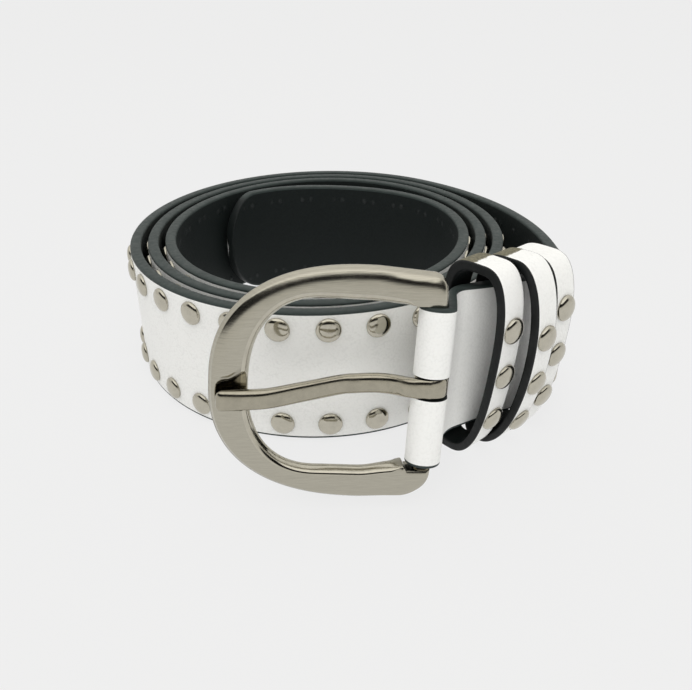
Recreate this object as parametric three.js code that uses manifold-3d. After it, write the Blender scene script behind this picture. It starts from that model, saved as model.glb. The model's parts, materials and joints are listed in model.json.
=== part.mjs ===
// A studded leather belt rolled up and stood on its edge, its buckle end led out to the front.
// Millimetres, +Z up. The coil's own centre is the drawing origin while the belt is built. At the
// end the whole belt is moved so that the origin is the middle of its footprint on the surface.
import * as THREE from 'three';
import { mergeVertices } from 'three/addons/utils/BufferGeometryUtils.js';
import Module from 'manifold-3d';

const wasm = await Module();
wasm.setup();
const rad = THREE.MathUtils.degToRad;

// strap
const strapWidth = 38;        // across the leather, upright in the coil
const strapThick = 3.3;       // white face, core and black backing together
const skivedThick = 2.0;      // pared down where it folds round the bar
const layerGap = 2.0;         // air between two turns, room for the studs
const tipLength = 13;         // from the end of the full width to the nose
const tipNose = 5;            // flat at the very nose
const tipRound = 1.7;         // exponent of the nose's outline

// coil, seen from above, wound clockwise from the tip
const coilHalfWidth = 44.5;   // centre of the leather to the coil's centre, first turn, left to right
const coilHalfDepth = 51.6;   // the same, front to back
const tipAngle = -55;         // degrees past the back where the nose lies
const turns = 3;              // whole turns before the strap leaves
const leaveAngle = 40;        // degrees past the back where it leaves the coil
const tipSag = 6.0;           // how far the springy tip cuts across the back of the coil
const sagSpan = 160;          // degrees of the first turn that the sag takes
const stepAngle = 8;          // one section each so many degrees

// the run from the coil to the buckle
const sideArc = 95;           // radius of the wide arc down the right side
const sideRun = 7.8;          // straight part of the right side
const frontArc = 47.6;        // radius of the turn to the front, through the keepers
const frontTurn = 64;         // degrees of that turn
const neckRun = 9.4;          // straight part through the first keeper
const neckArc = 7;            // radius of the bend toward the bar
const neckTurn = 56;          // degrees of that bend
const barRun = 7.6;           // straight part up to the bar
const buckleLift = 9.2;       // the buckle end stands this much higher than the coil
const leanRun = 26;           // stretch from the bar over which the strap comes upright
const paredRun = 24;          // stretch from the bar over which it gets its full thickness
const foldedShort = 18;       // degrees of its last bend that the folded-back end leaves out
const plyGap = 0.3;           // between the strap and its folded-back end

// buckle, in its own plane: x to the right of the bar, y along the bar, z out of its face
const leanBack = 12.6;        // degrees
const leanSide = 4.4;
const swingOut = 4.8;
const barRadius = 1.8;
const foldShift = 0.5;        // the fold sits this much above the middle of the bar
const barClear = 0.4;
const frameReach = 50.2;      // bar's centre to the far end of the bow
const frameHalf = 27.7;       // half the height of the bow
const armHalf = 27.0;         // half the height at the bar
const armRun = 14;            // from the bar to where the bow begins
const frameRound = 2.42;      // exponent of the bow's outline
const armPast = 1.6;          // arms reach past the bar's centre
const armCorner = 3.6;        // the upper arm's end is rounded off
const armCornerLow = 6.8;     // the lower one's more so
const windowReach = 41.4;
const windowHalf = 19.9;
const windowRun = 25;
const windowRound = 2.36;
const frameThick = 4.8;
const frameBevel = 2.0;       // outer edge, in the plane of the frame
const frameBevelDeep = 1.5;   // the same, through the thickness
const windowBevel = 0.5;
const seatDepth = 0.9;        // notch that the prong rests in
const seatAbove = 1.9;        // the notch's upper side, over the middle of the bow
const seatBelow = 6.2;        // its lower side

// prong
const prongWidth = 3.8;
const prongThick = 3.0;
const prongEye = 1.9;         // wall round the bar
const prongReach = 48.3;
const prongDip = 4.2;         // the arm dips behind the plane of the frame before it climbs to the seat
const prongDroop = 4.3;       // degrees that the tip hangs lower than the eye
const seatGap = 0.3;          // between pieces that touch
const slotSlack = 0.7;        // strap slot round the prong's eye

// keepers: three loose leather loops
const keeperWide = 7.7;       // along the strap
const keeperWall = 2.3;
const keeperBack = 8.6;       // loop's middle to its flat back
const keeperSquare = 4.5;     // exponent of the back's outline
const keeperTurn = 41.5;      // degrees, the way that all three face
const keeperStart = 0.6;      // from the strap's bend to the first loop
const keepers = [
  // gap: to the loop before; forward: how far the loop's middle lies in front of the strap's;
  // front: its middle to its bulging front; round: exponent of the front's outline;
  // half: half its height; tip: degrees that its top leans to the front; studsUp: its top stud
  // over the middle
  { name: 'keeper_near_buckle', gap: 0.0, forward: 1.4, front: 9.4, round: 2.6, half: 26.7, tip: 6.4, studsUp: 11.9 },
  { name: 'keeper_middle', gap: 0.7, forward: 2.0, front: 10.6, round: 2.1, half: 26.7, tip: 6.5, studsUp: 8.5 },
  { name: 'keeper_far', gap: 0.3, forward: 0.4, front: 9.6, round: 2.5, half: 26.25, tip: 6.5, studsUp: 13.8 },
];
const keeperStudPitch = 13;   // along the outline
const keeperStuds = 3;

// studs and holes
const studRadius = 3.3;
const studRise = 1.6;
const studPitch = 12.45;      // along the middle of the leather
const studInset = 4.9;        // row's centre to the strap's edge
const firstStud = 22.4;       // from the nose
const shownFrom = 68;         // the first column that shows from the front
const shownColumns = 10;
const studStop = 8;           // the last stud stays this far short of the keepers
const holeRadius = 2.3;
const holeFirst = 152;        // from the nose
const holePitch = 25;
const holeCount = 5;

const whiteLeather = { color: 0xe6e6e1, roughness: 0.55, metalness: 0 };
const keeperLeather = { color: 0xe9e9e5, roughness: 0.5, metalness: 0 };
const satinNickel = { color: 0xb0aa9b, roughness: 0.34, metalness: 1 };
const brightNickel = { color: 0x9c9588, roughness: 0.18, metalness: 1 };

const assembly = new THREE.Group();

function named(name, geometry, look) {
  geometry.computeVertexNormals();
  const mesh = new THREE.Mesh(geometry, new THREE.MeshStandardMaterial(look));
  mesh.name = name;
  return mesh;
}

function toSolid(geometry) {
  const bare = geometry.clone();
  bare.deleteAttribute('normal');
  bare.deleteAttribute('uv');
  const merged = mergeVertices(bare, 1e-4);
  return new wasm.Manifold(new wasm.Mesh({
    numProp: 3,
    vertProperties: Float32Array.from(merged.attributes.position.array),
    triVerts: Uint32Array.from(merged.index.array),
  }));
}

function fromSolid(solid) {
  const mesh = solid.getMesh();
  const geometry = new THREE.BufferGeometry();
  geometry.setAttribute('position', new THREE.BufferAttribute(mesh.vertProperties, 3));
  geometry.setIndex(new THREE.BufferAttribute(mesh.triVerts, 1));
  return geometry;
}

// A closed body through rings of equally many points, counter-clockwise seen against the run.
function loft(rings) {
  const count = rings[0].length;
  const points = rings.flat();
  const faces = [];
  for (let r = 0; r + 1 < rings.length; r += 1) {
    for (let i = 0; i < count; i += 1) {
      const a = r * count + i;
      const b = r * count + (i + 1) % count;
      faces.push(a, b, b + count, a, b + count, a + count);
    }
  }
  const last = (rings.length - 1) * count;
  for (let i = 1; i + 1 < count; i += 1) {
    faces.push(0, i + 1, i, last, last + i, last + i + 1);
  }
  const geometry = new THREE.BufferGeometry().setFromPoints(points);
  geometry.setIndex(faces);
  return geometry;
}

// Outline of a keeper seen from the buckle, x to the front and y up: a round front whose top leans
// forward by the slope, and a flatter upright back. Counter-clockwise from the middle of the front.
function loopOutline(keeper, inward, count) {
  const slope = Math.tan(rad(keeper.tip));
  const high = keeper.half - inward;
  return Array.from({ length: count }, (_, i) => {
    const c = Math.cos((2 * Math.PI * i) / count);
    const s = Math.sin((2 * Math.PI * i) / count);
    const exponent = c >= 0 ? keeper.round : keeperSquare;
    const y = high * Math.sign(s) * Math.abs(s) ** (2 / exponent);
    const reach = c >= 0 ? keeper.front - inward : -(keeperBack - inward) - slope * y;
    return new THREE.Vector2(slope * y + reach * Math.abs(c) ** (2 / exponent), y);
  });
}

// The strap's route seen from above. Each station has its point, its heading in degrees
// (0 along +X, counter-clockwise) and its share of the buckle's lift and of its lean.
const route = [];
const pitch = strapThick + layerGap;

function coilPoint(angle) {
  const grown = (pitch * angle) / 360;
  const inSag = (angle - tipAngle + 8) / sagSpan;
  const sag = inSag > 0 && inSag < 1 ? tipSag * Math.sin(Math.PI * inSag) ** 2 : 0;
  const c = Math.cos(rad(angle));
  return new THREE.Vector2(
    (coilHalfWidth + grown) * Math.sin(rad(angle)),
    (coilHalfDepth + grown) * c - sag * Math.max(c, 0),
  );
}

function coilHeading(angle) {
  const ahead = coilPoint(angle + 0.5).sub(coilPoint(angle - 0.5));
  return THREE.MathUtils.radToDeg(Math.atan2(ahead.y, ahead.x));
}

function onCoil(angle) {
  route.push({ at: coilPoint(angle), heading: coilHeading(angle), lift: 0, lean: 0 });
}

function aheadOf(heading) {
  return new THREE.Vector2(Math.cos(rad(heading)), Math.sin(rad(heading)));
}

// A straight part, and a bend that is positive to the left, both from the route's last station.
// pose gives lift and lean for the share of the part that is done.
const flat = () => [0, 0];
function goStraight(length, pose = flat) {
  const from = route.at(-1);
  const at = from.at.clone().addScaledVector(aheadOf(from.heading), length);
  const [lift, lean] = pose(1);
  route.push({ at, heading: from.heading, lift, lean });
}

function goRound(radius, degrees, step, pose = flat) {
  const from = route.at(-1);
  const side = Math.sign(degrees);
  const centre = from.at.clone().addScaledVector(aheadOf(from.heading + 90 * side), radius);
  const count = Math.max(2, Math.ceil(Math.abs(degrees) / step));
  for (let i = 1; i <= count; i += 1) {
    const heading = from.heading + (degrees * i) / count;
    const at = centre.clone().addScaledVector(aheadOf(heading - 90 * side), radius);
    const [lift, lean] = pose(i / count);
    route.push({ at, heading, lift, lean });
  }
  return centre;
}

const tipShares = [0, 0.05, 0.14, 0.28, 0.48, 0.72, 1];
const tipSpan = THREE.MathUtils.radToDeg(tipLength / Math.hypot(coilPoint(tipAngle).x, coilPoint(tipAngle).y));
tipShares.forEach((share) => onCoil(tipAngle + share * tipSpan));
const coilEnd = 360 * turns + leaveAngle;
const coilSteps = Math.ceil((coilEnd - tipAngle - tipSpan) / stepAngle);
for (let i = 1; i <= coilSteps; i += 1) {
  onCoil(tipAngle + tipSpan + ((coilEnd - tipAngle - tipSpan) * i) / coilSteps);
}
goRound(sideArc, -90 - route.at(-1).heading, stepAngle);
goStraight(sideRun);
const smooth = THREE.MathUtils.smoothstep;
const leanAt = (fromBar) => 1 - smooth(fromBar, 0, leanRun);
const bendLength = barRun + neckArc * rad(neckTurn);
goRound(frontArc, -frontTurn, stepAngle, (share) => [
  smooth(share, 0, 1), leanAt(bendLength + neckRun + frontArc * rad(frontTurn) * (1 - share)),
]);
const neckSteps = 3;
for (let i = neckSteps - 1; i >= 0; i -= 1) {
  goStraight(neckRun / neckSteps, () => [1, leanAt(bendLength + (neckRun * i) / neckSteps)]);
}
const bendStation = route.length - 1;
const neckCentre = goRound(neckArc, neckTurn, 10, (share) => [
  1, leanAt(barRun + neckArc * rad(neckTurn) * (1 - share)),
]);
goStraight(barRun, () => [1, 1]);
const foldStation = route.length - 1;
const foldRadius = barRadius + barClear + skivedThick / 2;

// Round the bar, then behind the strap again: the straight part touches the fold's circle and the
// circle of the neck's bend, both turned to the right.
const plyShift = strapThick / 2 + plyGap + skivedThick / 2;
const barPoint = route.at(-1).at.clone().addScaledVector(aheadOf(route.at(-1).heading - 90), foldRadius);
const backArc = neckArc + plyShift;
const between = neckCentre.clone().sub(barPoint);
const backLead = THREE.MathUtils.radToDeg(Math.atan2(between.y, between.x)
  + Math.asin((backArc - foldRadius) / between.length()));
const barLead = route.at(-1).heading + 180;
goRound(foldRadius, -((barLead + 180 - backLead) % 360), 18, () => [1, 1]);
const backRun = Math.sqrt(between.lengthSq() - (backArc - foldRadius) ** 2);
const backLean = (turned) => leanAt(barRun + neckArc * rad(barLead - backLead + turned));
goStraight(backRun, () => [1, backLean(0)]);
const backTurn = backLead - (90 - frontTurn) - foldedShort;
goRound(backArc, -backTurn, 11, (share) => [1, backLean(backTurn * share)]);

// The strap stands along the bar at the buckle and upright in the coil.
const buckleTurn = new THREE.Euler(rad(90 - leanBack), rad(swingOut), rad(-leanSide), 'XZY');
const barUp = new THREE.Vector3(0, 1, 0).applyEuler(buckleTurn);
const up = new THREE.Vector3(0, 0, 1);
const barCentre = new THREE.Vector3(barPoint.x, barPoint.y, strapWidth / 2 + buckleLift)
  .addScaledVector(barUp, -foldShift);

let run = 0;
route.forEach((station, i) => {
  if (i > 0) run += station.at.distanceTo(route[i - 1].at);
  station.run = run;
  station.mid = new THREE.Vector3(station.at.x, station.at.y, strapWidth / 2 + buckleLift * station.lift);
  station.up = up.clone().lerp(barUp, station.lean).normalize();
  // from the bar on, the leather keeps square to the bar
  if (i >= foldStation) {
    const beside = station.at.clone().sub(barPoint);
    station.mid.z -= (station.lean * (beside.x * barUp.x + beside.y * barUp.y)) / barUp.z;
  }
});
route.forEach((station, i) => {
  const before = route[Math.max(i - 1, 0)].mid;
  const after = route[Math.min(i + 1, route.length - 1)].mid;
  const along = new THREE.Vector3(Math.cos(rad(station.heading)), Math.sin(rad(station.heading)), 0);
  along.z = (after.z - before.z) / Math.max(after.distanceTo(before), 1e-6);
  station.out = new THREE.Vector3().crossVectors(station.up, along.normalize()).normalize();
  const nose = Math.min(station.run / tipLength, 1);
  const full = (1 - (1 - nose) ** tipRound) ** (1 / tipRound);
  station.half = tipNose / 2 + (strapWidth / 2 - tipNose / 2) * full;
  const fromBar = route[foldStation].run - station.run;
  station.thick = THREE.MathUtils.lerp(skivedThick, strapThick, smooth(fromBar, barRun, paredRun));
});

const place = (station, outward, upward) => station.mid.clone()
  .addScaledVector(station.out, outward).addScaledVector(station.up, upward);

// A point on the strap so far from the nose, with the outward normal of the flat it lies on.
function strapAt(distance) {
  const next = route.findIndex((station) => station.run >= distance);
  const a = route[next - 1];
  const b = route[next];
  const share = (distance - a.run) / (b.run - a.run);
  return {
    mid: a.mid.clone().lerp(b.mid, share),
    up: a.up.clone().lerp(b.up, share).normalize(),
    out: a.out.clone().add(b.out).normalize(),
  };
}

const strapRings = route.map((station) => [
  place(station, station.thick / 2, -station.half),
  place(station, station.thick / 2, station.half),
  place(station, -station.thick / 2, station.half),
  place(station, -station.thick / 2, -station.half),
]);
let strap = toSolid(loft(strapRings));

// Studs: low round domes, their flat side at height 0 of their own axis.
function dome(sides, sunk, rise) {
  const profile = [
    new THREE.Vector2(0, -sunk),
    new THREE.Vector2(studRadius, -sunk),
    ...(sunk ? [] : [new THREE.Vector2(studRadius * 0.88, 0.5 * rise)]),
    new THREE.Vector2(studRadius * (sunk ? 0.66 : 0.5), (sunk ? 0.76 : 0.9) * rise),
    new THREE.Vector2(0, rise),
  ];
  return new THREE.LatheGeometry(profile, sides);
}

function domeOn(geometry, point, outward) {
  const turn = new THREE.Quaternion().setFromUnitVectors(new THREE.Vector3(0, 1, 0), outward);
  return geometry.applyMatrix4(new THREE.Matrix4().compose(point, turn, new THREE.Vector3(1, 1, 1)));
}

const studRow = strapWidth / 2 - studInset;
const keeperSpan = keepers.reduce((sum, keeper) => sum + keeper.gap + keeperWide, 0);
const studEnd = route[bendStation].run - keeperStart - keeperSpan - studStop;
const shownStuds = [];
const flushRise = 0.3;
for (let column = 0; firstStud + column * studPitch < studEnd; column += 1) {
  const spot = strapAt(firstStud + column * studPitch);
  const shown = column >= shownFrom && column < shownFrom + shownColumns;
  for (const [row, side] of [['top', 1], ['bottom', -1]]) {
    const foot = spot.mid.clone().addScaledVector(spot.up, side * studRow)
      .addScaledVector(spot.out, strapThick / 2 + (shown ? seatGap : 0));
    if (shown) {
      const name = `stud_${row}_${column - shownFrom + 1}`;
      shownStuds.push(named(name, domeOn(dome(10, 0, studRise), foot, spot.out), brightNickel));
    } else {
      strap = strap.add(toSolid(domeOn(dome(6, flushRise, studRise), foot, spot.out)));
    }
  }
}

// Punched holes for the prong, in the stretch that lies behind the front of the coil.
for (let i = 0; i < holeCount; i += 1) {
  const spot = strapAt(holeFirst + i * holePitch);
  const punch = new THREE.CylinderGeometry(holeRadius, holeRadius, strapThick + layerGap * 0.8, 12);
  strap = strap.subtract(toSolid(domeOn(punch, spot.mid, spot.out)));
}

// Slot in the fold for the prong's eye.
const eyeRadius = barRadius + barClear + prongEye;
const slotRadius = Math.max(eyeRadius, foldRadius + skivedThick / 2) + slotSlack;
const slot = new THREE.CylinderGeometry(slotRadius, slotRadius, prongWidth + 2 * slotSlack, 20);
strap = strap.subtract(toSolid(domeOn(slot, barCentre.clone(), barUp)));
assembly.add(named('strap', fromSolid(strap), whiteLeather));
assembly.add(...shownStuds);

// Keepers: loops that stand on the surface, all three facing the same way.
const faceWay = aheadOf(keeperTurn);
const frontWay = aheadOf(keeperTurn - 90);

// Where the middle of the strap, seen from above, passes so far along the way the loops face.
function strapAcross(along) {
  const reached = (station) => station.at.dot(faceWay) >= along;
  let i = bendStation;
  while (!reached(route[i - 1])) i -= 1;
  const before = route[i - 1].at;
  const after = route[i].at;
  const share = (along - before.dot(faceWay)) / (after.dot(faceWay) - before.dot(faceWay));
  return before.clone().lerp(after, share);
}

let alongLoops = route[bendStation].at.dot(faceWay) + keeperStart;
keepers.forEach((keeper) => {
  alongLoops += keeper.gap;
  const middle = strapAcross(alongLoops).addScaledVector(frontWay, keeper.forward);
  const shape = new THREE.Shape(loopOutline(keeper, 0, 32));
  shape.holes.push(new THREE.Path(loopOutline(keeper, keeperWall, 32).reverse()));
  const loop = new THREE.ExtrudeGeometry(shape, { depth: keeperWide, bevelEnabled: false, steps: 1 });
  loop.translate(0, 0, -keeperWide);
  const holder = new THREE.Group();
  holder.position.set(middle.x, middle.y, keeper.half + seatGap);
  holder.rotation.set(rad(90), 0, rad(keeperTurn - 90), 'ZXY');
  holder.add(named(keeper.name, loop, keeperLeather));
  // the studs go down the front of the loop, one pitch apart along its outline
  const fine = loopOutline(keeper, 0, 720);
  const frontSide = [...fine.slice(540), ...fine.slice(0, 181)];
  const lengths = frontSide.map((point, i) => (i ? point.distanceTo(frontSide[i - 1]) : 0));
  lengths.forEach((length, i) => { lengths[i] = length + (i ? lengths[i - 1] : 0); });
  const middleLength = lengths[180];
  for (let i = 0; i < keeperStuds; i += 1) {
    const wanted = middleLength + keeper.studsUp - i * keeperStudPitch;
    const k = lengths.findIndex((length) => length >= wanted);
    const tangent = frontSide[k + 3].clone().sub(frontSide[k - 3]).normalize();
    const outward = new THREE.Vector3(tangent.y, -tangent.x, 0);
    const foot = new THREE.Vector3(frontSide[k].x, frontSide[k].y, -keeperWide / 2)
      .addScaledVector(outward, seatGap);
    const short = keeper.name.replace('keeper_', '');
    holder.add(named(`stud_${short}_${i + 1}`, domeOn(dome(10, 0, studRise), foot, outward), brightNickel));
  }
  assembly.add(holder);
  alongLoops += keeperWide;
});

// Buckle: a bow with two arms, its bar between them.
const buckle = new THREE.Group();
buckle.position.copy(barCentre);
buckle.rotation.copy(buckleTurn);

// Outline of a D lying to the left of the bar; its right side is straight.
function bowOutline(reach, half, atBar, runLength, exponent, right, corners, count) {
  const points = [];
  for (let i = 0; i <= count; i += 1) {
    const turn = Math.PI / 2 + (Math.PI * i) / count;
    const c = Math.abs(Math.cos(turn)) ** (2 / exponent);
    const s = Math.sin(turn);
    points.push(new THREE.Vector2(
      -runLength - (reach - runLength) * c,
      half * Math.sign(s) * Math.abs(s) ** (2 / exponent),
    ));
  }
  // the end of an arm, from its outer side to its end face
  const rounded = (corner) => [0, 1, 2, 3, 4].map((i) => {
    const turn = rad(-90 + (90 * i) / 4);
    return new THREE.Vector2(
      right - corner + corner * Math.cos(turn), -atBar + corner + corner * Math.sin(turn),
    );
  });
  const upper = rounded(corners.up).reverse().map((point) => new THREE.Vector2(point.x, -point.y));
  return [...points, ...rounded(corners.low), ...upper];
}

const bowShape = new THREE.Shape(bowOutline(
  frameReach - frameBevel, frameHalf - frameBevel, armHalf - frameBevel,
  armRun, frameRound, armPast - frameBevel,
  { up: armCorner - frameBevel, low: armCornerLow - frameBevel }, 30,
));
const bow = toSolid(new THREE.ExtrudeGeometry(bowShape, {
  depth: frameThick - 2 * frameBevelDeep, steps: 1, bevelEnabled: true,
  bevelThickness: frameBevelDeep, bevelSize: frameBevel, bevelSegments: 2,
}).translate(0, 0, frameBevelDeep - frameThick / 2));
// the window runs out between the arms, its edge bevelled at the face and at the back
const windowRight = armPast + frameThick;
const windowShape = new THREE.Shape(bowOutline(
  windowReach, windowHalf, windowHalf, windowRun, windowRound, windowRight,
  { up: windowBevel, low: windowBevel }, 24,
));
const opening = toSolid(new THREE.ExtrudeGeometry(windowShape, {
  depth: frameThick * 2, steps: 1, bevelEnabled: false,
}).translate(0, 0, -frameThick));
const flare = (side) => {
  const geometry = new THREE.ExtrudeGeometry(windowShape, {
    depth: windowBevel, steps: 1, bevelEnabled: true,
    bevelThickness: windowBevel, bevelSize: windowBevel, bevelSegments: 1,
  });
  // only the widening half of the bevel lies inside the frame
  geometry.translate(0, 0, frameThick / 2);
  return toSolid(side > 0 ? geometry : geometry.rotateX(Math.PI));
};
const bar = new THREE.CylinderGeometry(barRadius, barRadius, 2 * (windowHalf + windowBevel + 1), 16);

// Prong: its side view is drawn in x and z, then given its width along y.
const frameFace = frameThick / 2;
const seatHeight = frameFace - seatDepth;
const armHeights = [
  // reach: share of the prong's length; rise: its middle, out of the plane of the frame
  { reach: 0.10, rise: -0.55 * prongDip },
  { reach: 0.25, rise: -prongDip },
  { reach: 0.42, rise: -0.80 * prongDip },
  { reach: 0.60, rise: 0.05 * prongDip },
  { reach: 0.76, rise: seatHeight + seatGap + prongThick / 2 },
];
const restRise = seatHeight + seatGap + prongThick / 2;
const spine = new THREE.SplineCurve([
  new THREE.Vector2(0, 0),
  ...armHeights.map((row) => new THREE.Vector2(-row.reach * prongReach, row.rise)),
  new THREE.Vector2(-0.88 * prongReach, restRise + 0.1),
  new THREE.Vector2(-prongReach, restRise),
]);
const spinePoints = spine.getSpacedPoints(18);
const edgeOf = (side) => spinePoints.map((point, i) => {
  const before = spinePoints[Math.max(i - 1, 0)];
  const after = spinePoints[Math.min(i + 1, spinePoints.length - 1)];
  const across = after.clone().sub(before).normalize();
  const share = i / (spinePoints.length - 1);
  const half = (prongThick / 2) * (share > 0.94 ? 0.72 : 1);
  return new THREE.Vector2(point.x - across.y * half * side, point.y + across.x * half * side);
});
const armShape = new THREE.Shape([...edgeOf(1), ...edgeOf(-1).reverse()]);
const prongBevel = 0.6;
const arm = new THREE.ExtrudeGeometry(armShape, {
  depth: prongWidth - 2 * prongBevel, steps: 1, bevelEnabled: true, bevelThickness: prongBevel,
  bevelSize: prongBevel * 0.5, bevelOffset: -prongBevel * 0.5, bevelSegments: 1,
}).translate(0, 0, prongBevel - prongWidth / 2);
// lay the side view over: its x stays, its y becomes z, and the tip droops along y
const droop = Math.tan(rad(prongDroop));
const layOver = (geometry) => {
  const position = geometry.attributes.position;
  for (let i = 0; i < position.count; i += 1) {
    const x = position.getX(i);
    const height = position.getY(i);
    position.setXYZ(i, x, -position.getZ(i) + droop * Math.min(x, 0), height);
  }
  return geometry;
};
const eye = new THREE.CylinderGeometry(eyeRadius, eyeRadius, prongWidth, 16);
const eyeBore = new THREE.CylinderGeometry(barRadius + barClear, barRadius + barClear, prongWidth * 2, 16);
const prong = toSolid(layOver(arm)).add(toSolid(eye)).subtract(toSolid(eyeBore));

// the seat: a notch across the bow; the drooping prong lies along its lower side
const seatLength = frameReach - windowReach + 4 * windowBevel;
const seat = new THREE.BoxGeometry(seatLength, seatAbove + seatBelow, 2 * seatDepth);
const seatX = -(frameReach + windowReach) / 2;
seat.translate(seatX, (seatAbove - seatBelow) / 2, frameFace);
const frame = bow.subtract(opening).subtract(flare(1)).subtract(flare(-1))
  .add(toSolid(bar)).subtract(toSolid(seat));
buckle.add(named('buckle_frame', fromSolid(frame), satinNickel));
buckle.add(named('buckle_prong', fromSolid(prong), brightNickel));
assembly.add(buckle);

// the origin goes to the middle of the footprint
assembly.updateMatrixWorld(true);
const box = new THREE.Box3().setFromObject(assembly, true);
assembly.position.set(-(box.min.x + box.max.x) / 2, -(box.min.y + box.max.y) / 2, -box.min.z);

export default assembly;
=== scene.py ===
"""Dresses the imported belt: smooth leather, domed studs, nickel buckle, and the studio round it."""

from __future__ import annotations

import json
import logging
from dataclasses import dataclass, field
from enum import Enum

import bpy
import numpy as np
from mathutils import Matrix, Vector

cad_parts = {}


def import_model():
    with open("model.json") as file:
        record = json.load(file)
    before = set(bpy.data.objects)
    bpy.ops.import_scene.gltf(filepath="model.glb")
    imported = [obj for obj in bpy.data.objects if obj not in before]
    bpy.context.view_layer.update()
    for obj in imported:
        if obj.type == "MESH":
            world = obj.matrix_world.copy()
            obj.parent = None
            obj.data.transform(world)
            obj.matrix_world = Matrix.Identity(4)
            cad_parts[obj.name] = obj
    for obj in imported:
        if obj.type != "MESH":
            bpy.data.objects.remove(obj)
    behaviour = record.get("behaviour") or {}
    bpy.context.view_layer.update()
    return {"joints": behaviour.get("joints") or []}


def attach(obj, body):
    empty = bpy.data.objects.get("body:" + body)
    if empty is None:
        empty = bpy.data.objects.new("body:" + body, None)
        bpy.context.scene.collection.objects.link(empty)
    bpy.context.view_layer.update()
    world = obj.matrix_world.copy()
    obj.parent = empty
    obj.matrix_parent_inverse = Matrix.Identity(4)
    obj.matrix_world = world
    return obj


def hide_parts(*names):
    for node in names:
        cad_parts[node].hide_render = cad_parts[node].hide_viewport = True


LOG = logging.getLogger("belt")
MM = 0.001
Array = np.ndarray


class Body(Enum):
    """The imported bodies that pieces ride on."""

    BELT = "belt"
    BUCKLE = "buckle"
    PRONG = "prong"


class Slot(Enum):
    """The record's material slots."""

    STRAP = "strap_leather"
    KEEPER = "keeper_leather"
    SATIN = "satin_nickel"
    BRIGHT = "bright_nickel"


def heading_vector(degrees: Array) -> Array:
    """Unit vectors seen from above that point along headings in degrees."""
    turned = np.radians(np.asarray(degrees, float))
    return np.stack([np.cos(turned), np.sin(turned)], -1)


def smoothstep(value: Array, low: float, high: float) -> Array:
    """The cubic 3t^2 - 2t^3 of the share t of the way from low to high, kept within 0 and 1."""
    t = np.clip((np.asarray(value, float) - low) / (high - low), 0.0, 1.0)
    return t * t * (3.0 - 2.0 * t)


def unit(vectors: Array) -> Array:
    """The vectors at length one, along the last axis."""
    return vectors / np.maximum(np.linalg.norm(vectors, axis=-1, keepdims=True), 1e-12)


def run_along(line: Array) -> Array:
    """The distance of each point of a line from its first one, along it."""
    return np.concatenate([[0.0], np.cumsum(np.linalg.norm(np.diff(line, axis=0), axis=1))])


def rounded_power(angles: Array, exponent: float | Array) -> tuple[Array, Array]:
    """A superellipse of half-size one: each of cos and sin raised to 2/exponent with its sign kept.

    Args:
        angles: the curve's angle parameter in radians.
        exponent: 2 is a circle, and higher values are squarer.

    Returns:
        The curve's first and second coordinate.
    """
    c, s = np.cos(angles), np.sin(angles)
    power = 2.0 / np.asarray(exponent, float)
    return np.sign(c) * np.abs(c) ** power, np.sign(s) * np.abs(s) ** power


def spline_through(points: Array, count: int) -> Array:
    """A smooth line through points: Hermite cubics whose slopes are half the step between neighbours.

    Args:
        points: the points that the line passes, one per row.
        count: how many points to return, evenly spaced along the line.

    Returns:
        The resampled points.
    """
    fine = 24
    slopes = np.gradient(points, axis=0)
    t = np.linspace(0.0, 1.0, fine, endpoint=False)[:, None]
    h00, h10 = 2 * t**3 - 3 * t**2 + 1, t**3 - 2 * t**2 + t
    h01, h11 = -2 * t**3 + 3 * t**2, t**3 - t**2
    a, b = points[:-1, None, :], points[1:, None, :]
    line = h00 * a + h10 * slopes[:-1, None, :] + h01 * b + h11 * slopes[1:, None, :]
    line = np.concatenate([line.reshape(-1, points.shape[1]), points[-1:]])
    run = run_along(line)
    wanted = np.linspace(0.0, run[-1], count)
    return np.stack([np.interp(wanted, run, line[:, k]) for k in range(line.shape[1])], -1)


@dataclass(frozen=True)
class BuckleAxes:
    """The buckle's own plane: x away from the coil's left, y up the bar, z out of its face."""

    lean_back: float = 12.6
    lean_side: float = 4.4
    swing_out: float = 4.8

    def matrix(self) -> Array:
        """The turn of the buckle's plane: about x, then z, then y of the plane itself."""
        x, z, y = np.radians([90.0 - self.lean_back, -self.lean_side, self.swing_out])
        about_x = np.array([[1, 0, 0], [0, np.cos(x), -np.sin(x)], [0, np.sin(x), np.cos(x)]])
        about_z = np.array([[np.cos(z), -np.sin(z), 0], [np.sin(z), np.cos(z), 0], [0, 0, 1]])
        about_y = np.array([[np.cos(y), 0, np.sin(y)], [0, 1, 0], [-np.sin(y), 0, np.cos(y)]])
        return about_x @ about_z @ about_y


@dataclass
class Trace:
    """Stations along the middle of the strap, from the nose to the end behind the bar, in mm."""

    at: Array
    heading: Array
    lift: Array
    lean: Array
    bend: int = 0
    fold: int = 0
    bar: Array = field(default_factory=lambda: np.zeros(2))
    run: Array = field(default_factory=lambda: np.zeros(0))
    mid: Array = field(default_factory=lambda: np.zeros(0))
    up: Array = field(default_factory=lambda: np.zeros(0))
    out: Array = field(default_factory=lambda: np.zeros(0))
    half: Array = field(default_factory=lambda: np.zeros(0))
    thick: Array = field(default_factory=lambda: np.zeros(0))

    def place(self, distance: Array) -> tuple[Array, Array, Array]:
        """The strap's middle, its way up and its way out at distances from the nose."""
        def read(rows: Array) -> Array:
            """Rows of three, each read at the distances."""
            return np.stack([np.interp(distance, self.run, rows[:, k]) for k in range(3)], -1)

        return read(self.mid), unit(read(self.up)), unit(read(self.out))


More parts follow.
